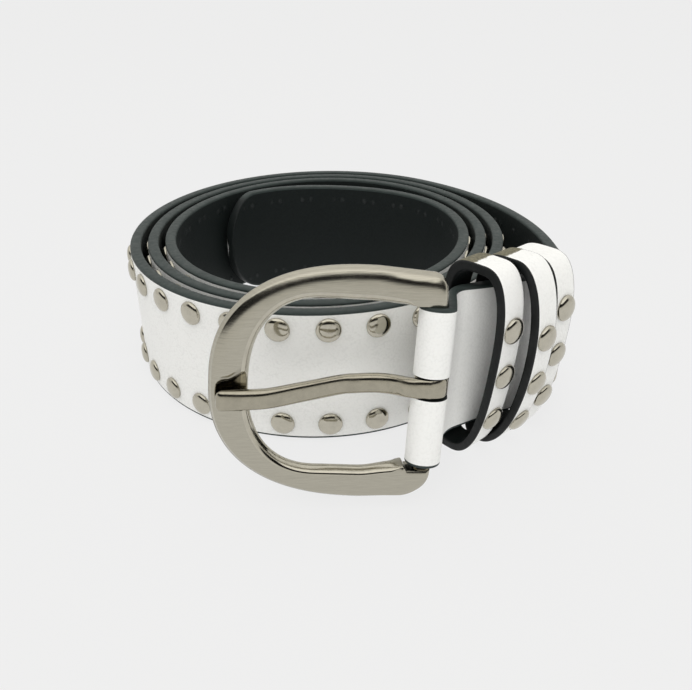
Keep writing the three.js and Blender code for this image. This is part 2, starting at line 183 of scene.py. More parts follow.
@dataclass(frozen=True)
class StrapRoute:
    """The way that the strap takes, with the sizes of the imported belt, in mm."""

    width: float = 38.0
    thick: float = 3.3
    skived: float = 2.0
    layer_gap: float = 2.0
    tip_length: float = 13.0
    tip_nose: float = 5.0
    tip_round: float = 1.7
    coil_half_width: float = 44.5
    coil_half_depth: float = 51.6
    tip_angle: float = -55.0
    turns: int = 3
    leave_angle: float = 40.0
    tip_sag: float = 6.0
    sag_span: float = 160.0
    side_arc: float = 95.0
    side_run: float = 7.8
    front_arc: float = 47.6
    front_turn: float = 64.0
    neck_run: float = 9.4
    neck_arc: float = 7.0
    neck_turn: float = 56.0
    bar_run: float = 7.6
    buckle_lift: float = 9.2
    lean_run: float = 26.0
    pared_run: float = 24.0
    folded_short: float = 18.0
    ply_gap: float = 0.3
    bar_radius: float = 1.8
    fold_shift: float = 0.5
    bar_clear: float = 0.4
    axes: BuckleAxes = BuckleAxes()

    def coil_point(self, angle: Array) -> Array:
        """An ellipse that grows by one pitch each turn, pressed in at the back where the tip sags.

        The sag is the tip_sag times the square of a half sine wave over sag_span degrees.
        """
        angle = np.asarray(angle, float)
        grown = (self.thick + self.layer_gap) * angle / 360.0
        share = (angle - self.tip_angle + 8.0) / self.sag_span
        inside = (share > 0) & (share < 1)
        sag = np.where(inside, self.tip_sag * np.sin(np.pi * share) ** 2, 0.0)
        c, s = np.cos(np.radians(angle)), np.sin(np.radians(angle))
        y = (self.coil_half_depth + grown) * c - sag * np.maximum(c, 0.0)
        return np.stack([(self.coil_half_width + grown) * s, y], -1)

    def coil_heading(self, angle: Array) -> Array:
        """The heading in degrees of the chord over one degree of the coil."""
        ahead = self.coil_point(np.asarray(angle) + 0.5) - self.coil_point(np.asarray(angle) - 0.5)
        return np.degrees(np.arctan2(ahead[..., 1], ahead[..., 0]))

    def lean_at(self, from_bar: Array) -> Array:
        """The share of the bar's lean so far from the bar along the strap."""
        return 1.0 - smoothstep(from_bar, 0.0, self.lean_run)

    @staticmethod
    def bend(start: Array, heading: float, radius: float, turn: float,
             count: int) -> tuple[Array, Array, Array]:
        """Points on a circle's arc that begins at start; a positive turn is to the left.

        Args:
            start: the arc's first point, which isn't among the points returned.
            heading: the heading at the start, in degrees.
            radius: the circle's radius.
            turn: how far the heading changes, in degrees.
            count: how many points to return.

        Returns:
            The points, their headings, and the circle's centre.
        """
        side = np.sign(turn)
        centre = start + heading_vector(heading + 90.0 * side) * radius
        headings = heading + turn * np.arange(1, count + 1) / count
        return centre + heading_vector(headings - 90.0 * side) * radius, headings, centre

    def trace(self, fineness: int) -> Trace:
        """Follows the route: coil, wide side arc, turn to the front, neck, fold, folded-back end.

        Args:
            fineness: 1 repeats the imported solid's own stations, and more puts in that many between.

        Returns:
            The stations, each with its directions, half width and thickness.
        """
        nose = float(np.linalg.norm(self.coil_point(self.tip_angle)))
        tip_span = np.degrees(self.tip_length / nose)
        shares = np.array([0, 0.05, 0.14, 0.28, 0.48, 0.72, 1.0])
        if fineness > 1:
            shares = np.linspace(0.0, 1.0, 26) ** 1.6
        first = self.tip_angle + tip_span
        coil_end = 360.0 * self.turns + self.leave_angle
        steps = int(np.ceil((coil_end - first) / 8.0)) * fineness
        angles = np.concatenate([
            self.tip_angle + shares * tip_span,
            first + (coil_end - first) * np.arange(1, steps + 1) / steps,
        ])
        points, headings = [self.coil_point(angles)], [self.coil_heading(angles)]
        lifts, leans = [np.zeros(len(angles))], [np.zeros(len(angles))]

        def add(at: Array, heading: Array, lift: Array, lean: Array) -> None:
            """Puts stations at the end of the route."""
            points.append(np.atleast_2d(at))
            for rows, values in ((headings, heading), (lifts, lift), (leans, lean)):
                rows.append(np.broadcast_to(np.asarray(values, float), (len(points[-1]),)).copy())

        def go_straight(length: float, pieces: int) -> tuple[Array, float]:
            """Points along the last heading, and that heading."""
            heading = float(headings[-1][-1])
            step = heading_vector(heading) * length / pieces
            return points[-1][-1] + step * np.arange(1, pieces + 1)[:, None], heading

        def count_of(turn: float, step: float) -> int:
            """How many stations an arc takes."""
            return max(2, int(np.ceil(abs(turn) / step))) * fineness

        turn = -90.0 - float(headings[-1][-1])
        at, heading, _ = self.bend(points[-1][-1], headings[-1][-1], self.side_arc, turn, count_of(turn, 8.0))
        add(at, heading, 0.0, 0.0)
        add(*go_straight(self.side_run, fineness), 0.0, 0.0)
        bend_length = self.bar_run + self.neck_arc * np.radians(self.neck_turn)
        count = count_of(self.front_turn, 8.0)
        share = np.arange(1, count + 1) / count
        at, heading, _ = self.bend(points[-1][-1], -90.0, self.front_arc, -self.front_turn, count)
        behind = bend_length + self.neck_run
        add(at, heading, smoothstep(share, 0, 1),
            self.lean_at(behind + self.front_arc * np.radians(self.front_turn) * (1 - share)))
        pieces = 3 * fineness
        left = 1.0 - np.arange(1, pieces + 1) / pieces
        add(*go_straight(self.neck_run, pieces), 1.0, self.lean_at(bend_length + self.neck_run * left))
        bend_station = sum(len(p) for p in points) - 1
        count = count_of(self.neck_turn, 10.0)
        share = np.arange(1, count + 1) / count
        at, heading, neck_centre = self.bend(
            points[-1][-1], headings[-1][-1], self.neck_arc, self.neck_turn, count)
        before_bar = self.bar_run + self.neck_arc * np.radians(self.neck_turn) * (1 - share)
        add(at, heading, 1.0, self.lean_at(before_bar))
        pieces = max(1, fineness)
        left = 1.0 - np.arange(1, pieces + 1) / pieces
        lean = self.lean_at(self.bar_run * left)
        add(*go_straight(self.bar_run, pieces), 1.0, lean)
        fold_station = sum(len(p) for p in points) - 1

        fold_radius = self.bar_radius + self.bar_clear + self.skived / 2
        ply_shift = self.thick / 2 + self.ply_gap + self.skived / 2
        at_bar, heading_bar = points[-1][-1], float(headings[-1][-1])
        bar = at_bar + heading_vector(heading_bar - 90.0) * fold_radius
        back_arc = self.neck_arc + ply_shift
        between = neck_centre - bar
        length = float(np.linalg.norm(between))
        back_lead = np.degrees(np.arctan2(between[1], between[0])
                               + np.arcsin((back_arc - fold_radius) / length))
        bar_lead = heading_bar + 180.0
        turn = (bar_lead + 180.0 - back_lead) % 360.0
        at, heading, _ = self.bend(at_bar, heading_bar, fold_radius, -turn, count_of(turn, 18.0))
        add(at, heading, 1.0, 1.0)

        def back_lean(turned: Array) -> Array:
            """The lean of the strap beside it, for the folded-back end."""
            return self.lean_at(self.bar_run + self.neck_arc * np.radians(bar_lead - back_lead + turned))

        back_run = float(np.sqrt(length**2 - (back_arc - fold_radius) ** 2))
        at, heading = go_straight(back_run, fineness)
        ease = np.arange(1, fineness + 1) / fineness
        add(at, heading, 1.0, 1.0 + (back_lean(0.0) - 1.0) * ease)
        turn = back_lead - (90.0 - self.front_turn) - self.folded_short
        count = count_of(turn, 11.0)
        at, heading, _ = self.bend(points[-1][-1], headings[-1][-1], back_arc, -turn, count)
        add(at, heading, 1.0, back_lean(turn * np.arange(1, count + 1) / count))

        made = Trace(np.concatenate(points), np.concatenate(headings), np.concatenate(lifts),
                     np.concatenate(leans), bend_station, fold_station, bar)
        return self.finish_trace(made)

    def finish_trace(self, made: Trace) -> Trace:
        """Works out runs, directions, half widths and thicknesses of the stations.

        The way up goes from upright to the bar's direction with the lean, and the way out is square
        to it and to the heading. The half width follows a superellipse quarter over the tip.
        """
        made.run = np.concatenate([[0.0], np.cumsum(np.linalg.norm(np.diff(made.at, axis=0), axis=1))])
        bar_up = self.axes.matrix() @ np.array([0.0, 1.0, 0.0])
        made.up = unit(np.array([0, 0, 1.0]) + made.lean[:, None] * (bar_up - np.array([0, 0, 1.0])))
        z = self.width / 2 + self.buckle_lift * made.lift
        beside = made.at[made.fold:] - made.bar
        z[made.fold:] -= made.lean[made.fold:] * (beside @ bar_up[:2]) / bar_up[2]
        made.mid = np.concatenate([made.at, z[:, None]], 1)
        ahead = np.concatenate([heading_vector(made.heading), np.zeros((len(z), 1))], 1)
        before, after = np.roll(made.mid, 1, 0), np.roll(made.mid, -1, 0)
        before[0], after[-1] = made.mid[0], made.mid[-1]
        ahead[:, 2] = (after - before)[:, 2] / np.maximum(np.linalg.norm(after - before, axis=1), 1e-6)
        made.out = unit(np.cross(made.up, unit(ahead)))
        nose = np.minimum(made.run / self.tip_length, 1.0)
        full = (1 - (1 - nose) ** self.tip_round) ** (1 / self.tip_round)
        made.half = self.tip_nose / 2 + (self.width / 2 - self.tip_nose / 2) * full
        from_bar = made.run[made.fold] - made.run
        pared = smoothstep(from_bar, self.bar_run, self.pared_run)
        made.thick = self.skived + (self.thick - self.skived) * pared
        return made


@dataclass
class Shell:
    """Points in mm and faces between them, gathered part by part and then made one mesh."""

    points: list[Array] = field(default_factory=list)
    uvs: list[Array] = field(default_factory=list)
    faces: list[Array] = field(default_factory=list)
    slots: list[Array] = field(default_factory=list)
    held: int = 0

    def add_points(self, points: Array, uv: Array | None = None) -> int:
        """Takes points in, and returns the number of the first one."""
        flat = points.reshape(-1, 3)
        self.points.append(flat)
        self.uvs.append(np.zeros((len(flat), 2)) if uv is None else uv.reshape(-1, 2))
        first, self.held = self.held, self.held + len(flat)
        return first

    def add_grid(self, grid: Array, uv: Array | None = None, around: bool = True,
                 along: bool = False, slots: int | Array = 0) -> Array:
        """Quads over a grid of points; each faces the cross product of its column and row ways.

        Args:
            grid: points by row and column.
            uv: a pair for each point.
            around: the last column joins the first.
            along: the last row joins the first.
            slots: material of each quad, broadcast over rows and columns.

        Returns:
            The grid of point numbers.
        """
        rows, cols = grid.shape[:2]
        number = self.add_points(grid, uv) + np.arange(rows * cols).reshape(rows, cols)
        full = np.concatenate([number, number[:, :1]], 1) if around else number
        full = np.concatenate([full, full[:1]], 0) if along else full
        quads = np.stack([full[:-1, :-1], full[:-1, 1:], full[1:, 1:], full[1:, :-1]], -1)
        self.faces.append(quads.reshape(-1, 4))
        self.slots.append(np.broadcast_to(slots, quads.shape[:2]).reshape(-1))
        return number

    def cap(self, number: Array, slot: int = 0) -> None:
        """Closes a grid's first and last rows."""
        self.close(number[:1], True, slot)
        self.close(number[-1:], False, slot)

    def close(self, rings: Array, first_row: bool, slot: int = 0) -> None:
        """Fans each ring of points to its middle.

        Args:
            rings: point numbers, one ring per row.
            first_row: the ring begins its grid, so that the fan faces backwards.
            slot: the fans' material.
        """
        known = np.concatenate(self.points)
        centres = known[rings].mean(1)
        uv = np.concatenate(self.uvs)[rings].mean(1)
        middle = self.add_points(centres, uv) + np.arange(len(rings))
        after = np.roll(rings, -1, axis=1)
        pair = (after, rings) if first_row else (rings, after)
        fans = np.stack([*pair, np.broadcast_to(middle[:, None], rings.shape)], -1)
        self.faces.append(fans.reshape(-1, 3))
        self.slots.append(np.full(fans.shape[0] * fans.shape[1], slot))

    def build(self, name: str, materials: list[bpy.types.Material]) -> bpy.types.Object:
        """Makes the mesh object; the points are in the row frame, so the object stays at the origin."""
        points = np.concatenate(self.points) * MM
        loop = np.concatenate([rows.reshape(-1) for rows in self.faces])
        size = np.concatenate([np.full(len(rows), rows.shape[1]) for rows in self.faces])
        mesh = bpy.data.meshes.new(name)
        mesh.vertices.add(len(points))
        mesh.vertices.foreach_set("co", points.astype(np.float32).ravel())
        mesh.loops.add(len(loop))
        mesh.loops.foreach_set("vertex_index", loop.astype(np.int32))
        mesh.polygons.add(len(size))
        starts = np.concatenate([[0], np.cumsum(size)[:-1]])
        mesh.polygons.foreach_set("loop_start", starts.astype(np.int32))
        mesh.polygons.foreach_set("material_index", np.concatenate(self.slots).astype(np.int32))
        mesh.polygons.foreach_set("use_smooth", np.ones(len(size), bool))
        layer = mesh.uv_layers.new(name="run_and_height")
        layer.data.foreach_set("uv", (np.concatenate(self.uvs)[loop] * MM).astype(np.float32).ravel())
        mesh.update(calc_edges=True)
        mesh.validate()
        made = bpy.data.objects.new(name, mesh)
        for material in materials:
            mesh.materials.append(material)
        bpy.context.scene.collection.objects.link(made)
        return made


def wear(piece: bpy.types.Object, body: Body, slot: Slot, *nodes: str) -> bpy.types.Object:
    """Puts a finished piece on its body and hides the imported nodes that it stands for."""
    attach(piece, body.value)
    if nodes:
        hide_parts(*nodes)
    LOG.info("%s: %d faces on %s", piece.name, len(piece.data.polygons), body.value)
    return piece


class Graph:
    """A material's node tree, with short calls that add a node and join its sockets."""

    def __init__(self, name: str) -> None:
        """Starts a material with a principled shader."""
        self.material = bpy.data.materials.new(name)
        self.material.use_nodes = True
        self.tree = self.material.node_tree
        self.tree.nodes.clear()
        output = self.tree.nodes.new("ShaderNodeOutputMaterial")
        self.skin = self.tree.nodes.new("ShaderNodeBsdfPrincipled")
        self.tree.links.new(self.skin.outputs[0], output.inputs[0])

    def add(self, kind: str, inputs: dict | None = None, out: int | str = 0,
            **settings: object) -> bpy.types.NodeSocket:
        """Adds a node.

        Args:
            kind: the node's type without its ShaderNode prefix.
            inputs: a value or another node's socket for each input.
            out: which output to return.
            settings: properties of the node.

        Returns:
            The chosen output socket.
        """
        node = self.tree.nodes.new("ShaderNode" + kind)
        for key, value in settings.items():
            setattr(node, key, value)
        for key, value in (inputs or {}).items():
            self.feed(node.inputs[key], value)
        return node.outputs[out]

    def feed(self, socket: bpy.types.NodeSocket, value: object) -> None:
        """Links a socket to another, or sets its value."""
        if isinstance(value, bpy.types.NodeSocket):
            self.tree.links.new(value, socket)
        else:
            socket.default_value = value

    def place(self, warp: float = 0.0) -> bpy.types.NodeSocket:
        """Object coordinates in metres, pushed about by a slow noise of that strength."""
        here = self.add("TexCoord", out="Object")
        if not warp:
            return here
        push = self.add("TexNoise", {"Vector": here, "Scale": 420.0, "Detail": 2.0}, out=1)
        return self.add("VectorMath", {0: push, 1: (warp, warp, warp), 2: here}, operation="MULTIPLY_ADD")

    def noise(self, where: bpy.types.NodeSocket, per_metre: float, detail: float = 3.0,
              rough: float = 0.55) -> bpy.types.NodeSocket:
        """A fractal noise with so many cells in a metre."""
        return self.add("TexNoise", {"Vector": where, "Scale": per_metre, "Detail": detail,
                                     "Roughness": rough})

    def math(self, operation: str, *values: object, clamp: bool = False) -> bpy.types.NodeSocket:
        """One step of arithmetic."""
        return self.add("Math", dict(enumerate(values)), operation=operation, use_clamp=clamp)

    def span(self, value: object, low: float, high: float, to_low: float, to_high: float,
             smooth: bool = False) -> bpy.types.NodeSocket:
        """The value carried from one range to another, and held within it."""
        kind = "SMOOTHSTEP" if smooth else "LINEAR"
        return self.add("MapRange", {"Value": value, "From Min": low, "From Max": high,
                                     "To Min": to_low, "To Max": to_high}, interpolation_type=kind)

    def blend(self, share: object, first: object, second: object) -> bpy.types.NodeSocket:
        """One colour into another by a share."""
        return self.add("Mix", {0: share, 6: first, 7: second}, out=2, data_type="RGBA")

    def relief(self, height: object, metres: float, strength: float = 1.0,
               over: bpy.types.NodeSocket | None = None) -> bpy.types.NodeSocket:
        """A bump so many metres high, over another one if given."""
        inputs = {"Height": height, "Distance": metres, "Strength": strength}
        if over is not None:
            inputs["Normal"] = over
        return self.add("Bump", inputs)

    def finish(self, **values: object) -> bpy.types.Material:
        """Fills the shader's sockets; an underscore in a name stands for a space."""
        for key, value in values.items():
            self.feed(self.skin.inputs[key.replace("_", " ")], value)
        return self.material


def rgb(red: float, green: float, blue: float) -> tuple[float, float, float, float]:
    """A linear colour with full alpha."""
    return red, green, blue, 1.0


@dataclass(frozen=True)
class PebbledLeather:
    """White leather with a fine soft pebble grain, its creases hardly darker than its cells."""

    name: str
    colour: tuple[float, float, float, float] = rgb(0.905, 0.905, 0.880)
    crease: tuple[float, float, float, float] = rgb(0.80, 0.80, 0.775)
    pebble_mm: float = 0.62
    rough: float = 0.50
    raw: tuple[float, float, float, float] | None = None

    def make(self) -> bpy.types.Material:
        """Builds the material; where raw is given, the surface turns raw once u drops below zero."""
        g = Graph(self.name)
        here = g.place(warp=0.0009)
        cells = g.add("TexVoronoi", {"Vector": here, "Scale": 1000.0 / self.pebble_mm, "Randomness": 1.0,
                                     "Smoothness": 0.35}, feature="SMOOTH_F1")
        pebble = g.span(cells, 0.15, 0.75, 1.0, 0.0)
        fine = g.noise(here, 2600.0, detail=3.0)
        slow = g.noise(here, 60.0, detail=4.0)
        height = g.math("MULTIPLY_ADD", fine, 0.5, pebble)
        patchy = g.span(g.noise(here, 210.0, detail=3.0), 0.35, 0.65, 0.35, 1.0)
        creased = g.math("MULTIPLY", g.span(pebble, 0.0, 0.45, 0.55, 0.0), patchy)
        colour = g.blend(creased, self.colour, self.crease)
        colour = g.blend(g.span(slow, 0.35, 0.7, 0.0, 0.10), colour, rgb(0.82, 0.815, 0.775))
        rough = g.span(g.noise(here, 900.0), 0.3, 0.7, self.rough - 0.05, self.rough + 0.09)
        waves = g.relief(slow, 0.0007, 0.35)
        if self.raw is not None:
            u = g.add("SeparateXYZ", {"Vector": g.add("UVMap")}, out=0)
            ragged = g.math("MULTIPLY_ADD", g.noise(here, 900.0, detail=4.0), 0.0016, u)
            share = g.span(ragged, 0.0006, 0.0011, 1.0, 0.0)
            fibre = g.noise(here, 1500.0, detail=5.0, rough=0.7)
            colour = g.blend(share, colour, g.blend(g.span(fibre, 0.35, 0.65, 0.0, 1.0), self.raw,
                                                    rgb(0.085, 0.08, 0.055)))
            rough = g.math("MULTIPLY_ADD", share, 0.3, rough)
        return g.finish(Base_Color=colour, Roughness=rough, Normal=g.relief(height, 0.00007, 0.5, waves),
                        Specular_IOR_Level=0.38)


@dataclass(frozen=True)
class EdgePaint:
    """Painted leather edge: even and soft, with a faint ripple along it, and painted shade darkening its
    nose.
    """

    name: str
    colour: tuple[float, float, float, float]
    rough: float = 0.5
    nose_shade_above: float = 0.0

    def make(self) -> bpy.types.Material:
        """Builds the material; at the nose, where v is nearer the middle than the given height, the colour is
        darkened towards black as painted shade of the coil.
        """
        g = Graph(self.name)
        here = g.place()
        slow = g.noise(here, 160.0, detail=4.0)
        darker = tuple(0.72 * part for part in self.colour[:3]) + (1.0,)
        colour = g.blend(g.span(slow, 0.35, 0.68, 0.0, 0.7), self.colour, darker)
        v = g.add("SeparateXYZ", {"Vector": g.add("UVMap")}, out=1)
        inward = g.math("SUBTRACT", self.nose_shade_above * MM, g.math("ABSOLUTE", v))
        # Painted shade: the edge at the nose, which lies in the coil's shadow, is coloured near-black.
        colour = g.blend(g.span(inward, 0.0, 0.0012, 0.0, 0.85), colour, rgb(0.006, 0.008, 0.008))
        rough = g.span(g.noise(here, 700.0), 0.3, 0.7, self.rough - 0.08, self.rough + 0.12)
        ripple = g.relief(g.noise(here, 520.0, detail=3.0), 0.00022, 0.5)
        return g.finish(Base_Color=colour, Roughness=rough, Normal=ripple, Specular_IOR_Level=0.3)


@dataclass(frozen=True)
class DarkLining:
    """Near-black backing with the fine nap of split leather, raised a little over each stud's legs."""

    name: str
    row_mm: float
    pitch_mm: float
    first_mm: float
    legs_mm: float = 3.6
    colour: tuple[float, float, float, float] = rgb(0.0058, 0.0088, 0.0085)

    def make(self) -> bpy.types.Material:
        """Builds the material; each bump is a round rise about the place of a stud, also coloured lighter as
        a painted highlight.
        """
        g = Graph(self.name)
        here = g.place()
        uv = g.add("UVMap")
        u = g.add("SeparateXYZ", {"Vector": uv}, out=0)
        v = g.add("SeparateXYZ", {"Vector": uv}, out=1)
        columns = g.math("DIVIDE", g.math("SUBTRACT", u, self.first_mm * MM), self.pitch_mm * MM)
        across = g.math("SUBTRACT", g.math("FRACT", g.math("ADD", columns, 0.5)), 0.5)
        across = g.math("MULTIPLY", across, self.pitch_mm * MM)
        beside = g.math("SUBTRACT", g.math("ABSOLUTE", across), self.legs_mm / 2 * MM)
        above = g.math("SUBTRACT", g.math("ABSOLUTE", v), self.row_mm * MM)
        squares = g.math("ADD", g.math("MULTIPLY", beside, beside), g.math("MULTIPLY", above, above))
        far = g.math("SQRT", squares)
        bump = g.span(far, 0.0003, 0.0013, 1.0, 0.0, smooth=True)
        bump = g.math("MULTIPLY", bump, g.span(g.noise(here, 420.0, detail=3.0), 0.38, 0.62, 0.1, 1.0))
        nap = g.noise(here, 1300.0, detail=4.0, rough=0.65)
        colour = g.blend(g.span(nap, 0.35, 0.65, 0.0, 1.0), self.colour, rgb(0.0105, 0.0145, 0.0140))
        # Painted highlight: the bumps are coloured lighter, as if light caught the raised leather.
        colour = g.blend(g.math("MULTIPLY", bump, 0.5), colour, rgb(0.05, 0.055, 0.055))
        raised = g.relief(bump, 0.00045, 1.0)
        return g.finish(Base_Color=colour, Roughness=g.span(nap, 0.3, 0.7, 0.5, 0.72),
                        Normal=g.relief(nap, 0.00012, 0.6, raised), Specular_IOR_Level=0.2)


@dataclass(frozen=True)
class SatinNickel:
    """Brushed warm nickel with fine streaks one way; glossier where u rises above zero, and coloured darker
    there as painted shade.
    """

    name: str
    colour: tuple[float, float, float, float] = rgb(0.465, 0.442, 0.368)
    rough: float = 0.18
    # The colour of the painted shade in the prong's sunk seat.
    seat: tuple[float, float, float, float] = rgb(0.26, 0.245, 0.205)
    streak_per_metre: tuple[float, float, float] = (260.0, 260.0, 5200.0)
    depth: float = 0.000012

    def make(self) -> bpy.types.Material:
        """Builds the material."""
        g = Graph(self.name)
        here = g.place()
        stretched = g.add("Mapping", {"Vector": here, "Scale": self.streak_per_metre})
        streak = g.add("TexNoise", {"Vector": stretched, "Scale": 1.0, "Detail": 4.0, "Roughness": 0.6})
        slow = g.noise(here, 120.0, detail=3.0)
        darker = tuple(0.86 * part for part in self.colour[:3]) + (1.0,)
        colour = g.blend(g.span(streak, 0.3, 0.7, 0.0, 0.8), self.colour, darker)
        cloudy = g.span(slow, 0.3, 0.7, self.rough - 0.1, self.rough - 0.04)
        rough = g.math("MULTIPLY_ADD", streak, 0.16, cloudy)
        depth = g.add("SeparateXYZ", {"Vector": g.add("UVMap")}, out=0)
        sunk = g.span(depth, 0.0001, 0.0006, 0.0, 1.0)
        # Painted shade: where u rises above zero, in the prong's sunk seat, the colour turns darker.
        colour = g.blend(sunk, colour, self.seat)
        rough = g.math("MULTIPLY_ADD", sunk, -0.12, rough)
        return g.finish(Base_Color=colour, Roughness=rough, Metallic=1.0,
                        Normal=g.relief(streak, self.depth, 0.7))


@dataclass(frozen=True)
class BrightNickel:
    """Polished warm nickel with the faint cloudiness of handling."""

    name: str
    colour: tuple[float, float, float, float] = rgb(0.52, 0.492, 0.412)
    rough: float = 0.11

    def make(self) -> bpy.types.Material:
        """Builds the material."""
        g = Graph(self.name)
        here = g.place()
        cloud = g.noise(here, 380.0, detail=5.0, rough=0.65)
        darker = tuple(0.84 * part for part in self.colour[:3]) + (1.0,)
        colour = g.blend(g.span(cloud, 0.4, 0.7, 0.0, 0.7), self.colour, darker)
        rough = g.span(cloud, 0.3, 0.7, self.rough - 0.03, self.rough + 0.09)
        return g.finish(Base_Color=colour, Roughness=rough, Metallic=1.0,
                        Normal=g.relief(g.noise(here, 900.0, detail=2.0), 0.00001, 0.5))


@dataclass(frozen=True)
class Finishes:
    """Every finish of the belt, made once."""

    white: bpy.types.Material
    keeper_white: bpy.types.Material
    edge: bpy.types.Material
    keeper_edge: bpy.types.Material
    lining: bpy.types.Material
    satin: bpy.types.Material
    bright: bpy.types.Material
    prong: bpy.types.Material

    @classmethod
    def mixed(cls, studs: "Studs") -> "Finishes":
        """Makes the materials; the lining's bumps follow the studs' rows."""
        return cls(
            white=PebbledLeather("white_pebbled_leather").make(),
            keeper_white=PebbledLeather("white_loop_leather", raw=rgb(0.235, 0.215, 0.140)).make(),
            # The strap's edge paint, with painted shade at its nose.
            edge=EdgePaint("slate_edge_paint", rgb(0.032, 0.044, 0.041), nose_shade_above=18.0).make(),
            keeper_edge=EdgePaint("charcoal_edge_paint", rgb(0.006, 0.0074, 0.0076)).make(),
            lining=DarkLining("black_lining", studs.row, studs.pitch, studs.first).make(),
            satin=SatinNickel("satin_nickel_brushed").make(),
            bright=BrightNickel("bright_nickel_polished").make(),
            # A darker copy of the polished nickel, for the prong.
            prong=BrightNickel("darker_nickel_of_the_prong", rgb(0.395, 0.368, 0.295), 0.15).make(),
        )


@dataclass
class BeltFrame:
    """Where the route and the buckle's axes stand in the row frame."""

    route: StrapRoute
    coarse: Trace
    fine: Trace
    fineness: int
    offset: Array
    bar_centre: Array
    axes: Array

    @classmethod
    def found(cls, route: StrapRoute, joint_pos: Array, fineness: int = 4) -> "BeltFrame":
        """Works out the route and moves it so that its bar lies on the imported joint."""
        coarse, fine = route.trace(1), route.trace(fineness)
        axes = route.axes.matrix()
        height = route.width / 2 + route.buckle_lift
        centre = np.append(coarse.bar, height) - route.fold_shift * axes[:, 1]
        offset = joint_pos - centre
        LOG.info("route stands at %s mm", np.round(offset, 3))
        for trace in (coarse, fine):
            trace.mid = trace.mid + offset
        return cls(route, coarse, fine, fineness, offset, joint_pos, axes)

    def fine_run(self, coarse_run: Array) -> Array:
        """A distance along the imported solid's straight pieces, as one along the smooth route."""
        tip, first = 6, len(self.fine.run) - (len(self.coarse.run) - 7) * self.fineness - 1
        steps = np.arange(len(self.coarse.run) - tip)
        known = np.concatenate([[0.0], self.coarse.run[tip:]])
        wanted = np.concatenate([[0.0], self.fine.run[first + steps * self.fineness]])
        return np.interp(coarse_run, known, wanted)

    def to_row(self, points: Array) -> Array:
        """Points of the buckle's plane brought into the row frame."""
        return points @ self.axes.T + self.bar_centre


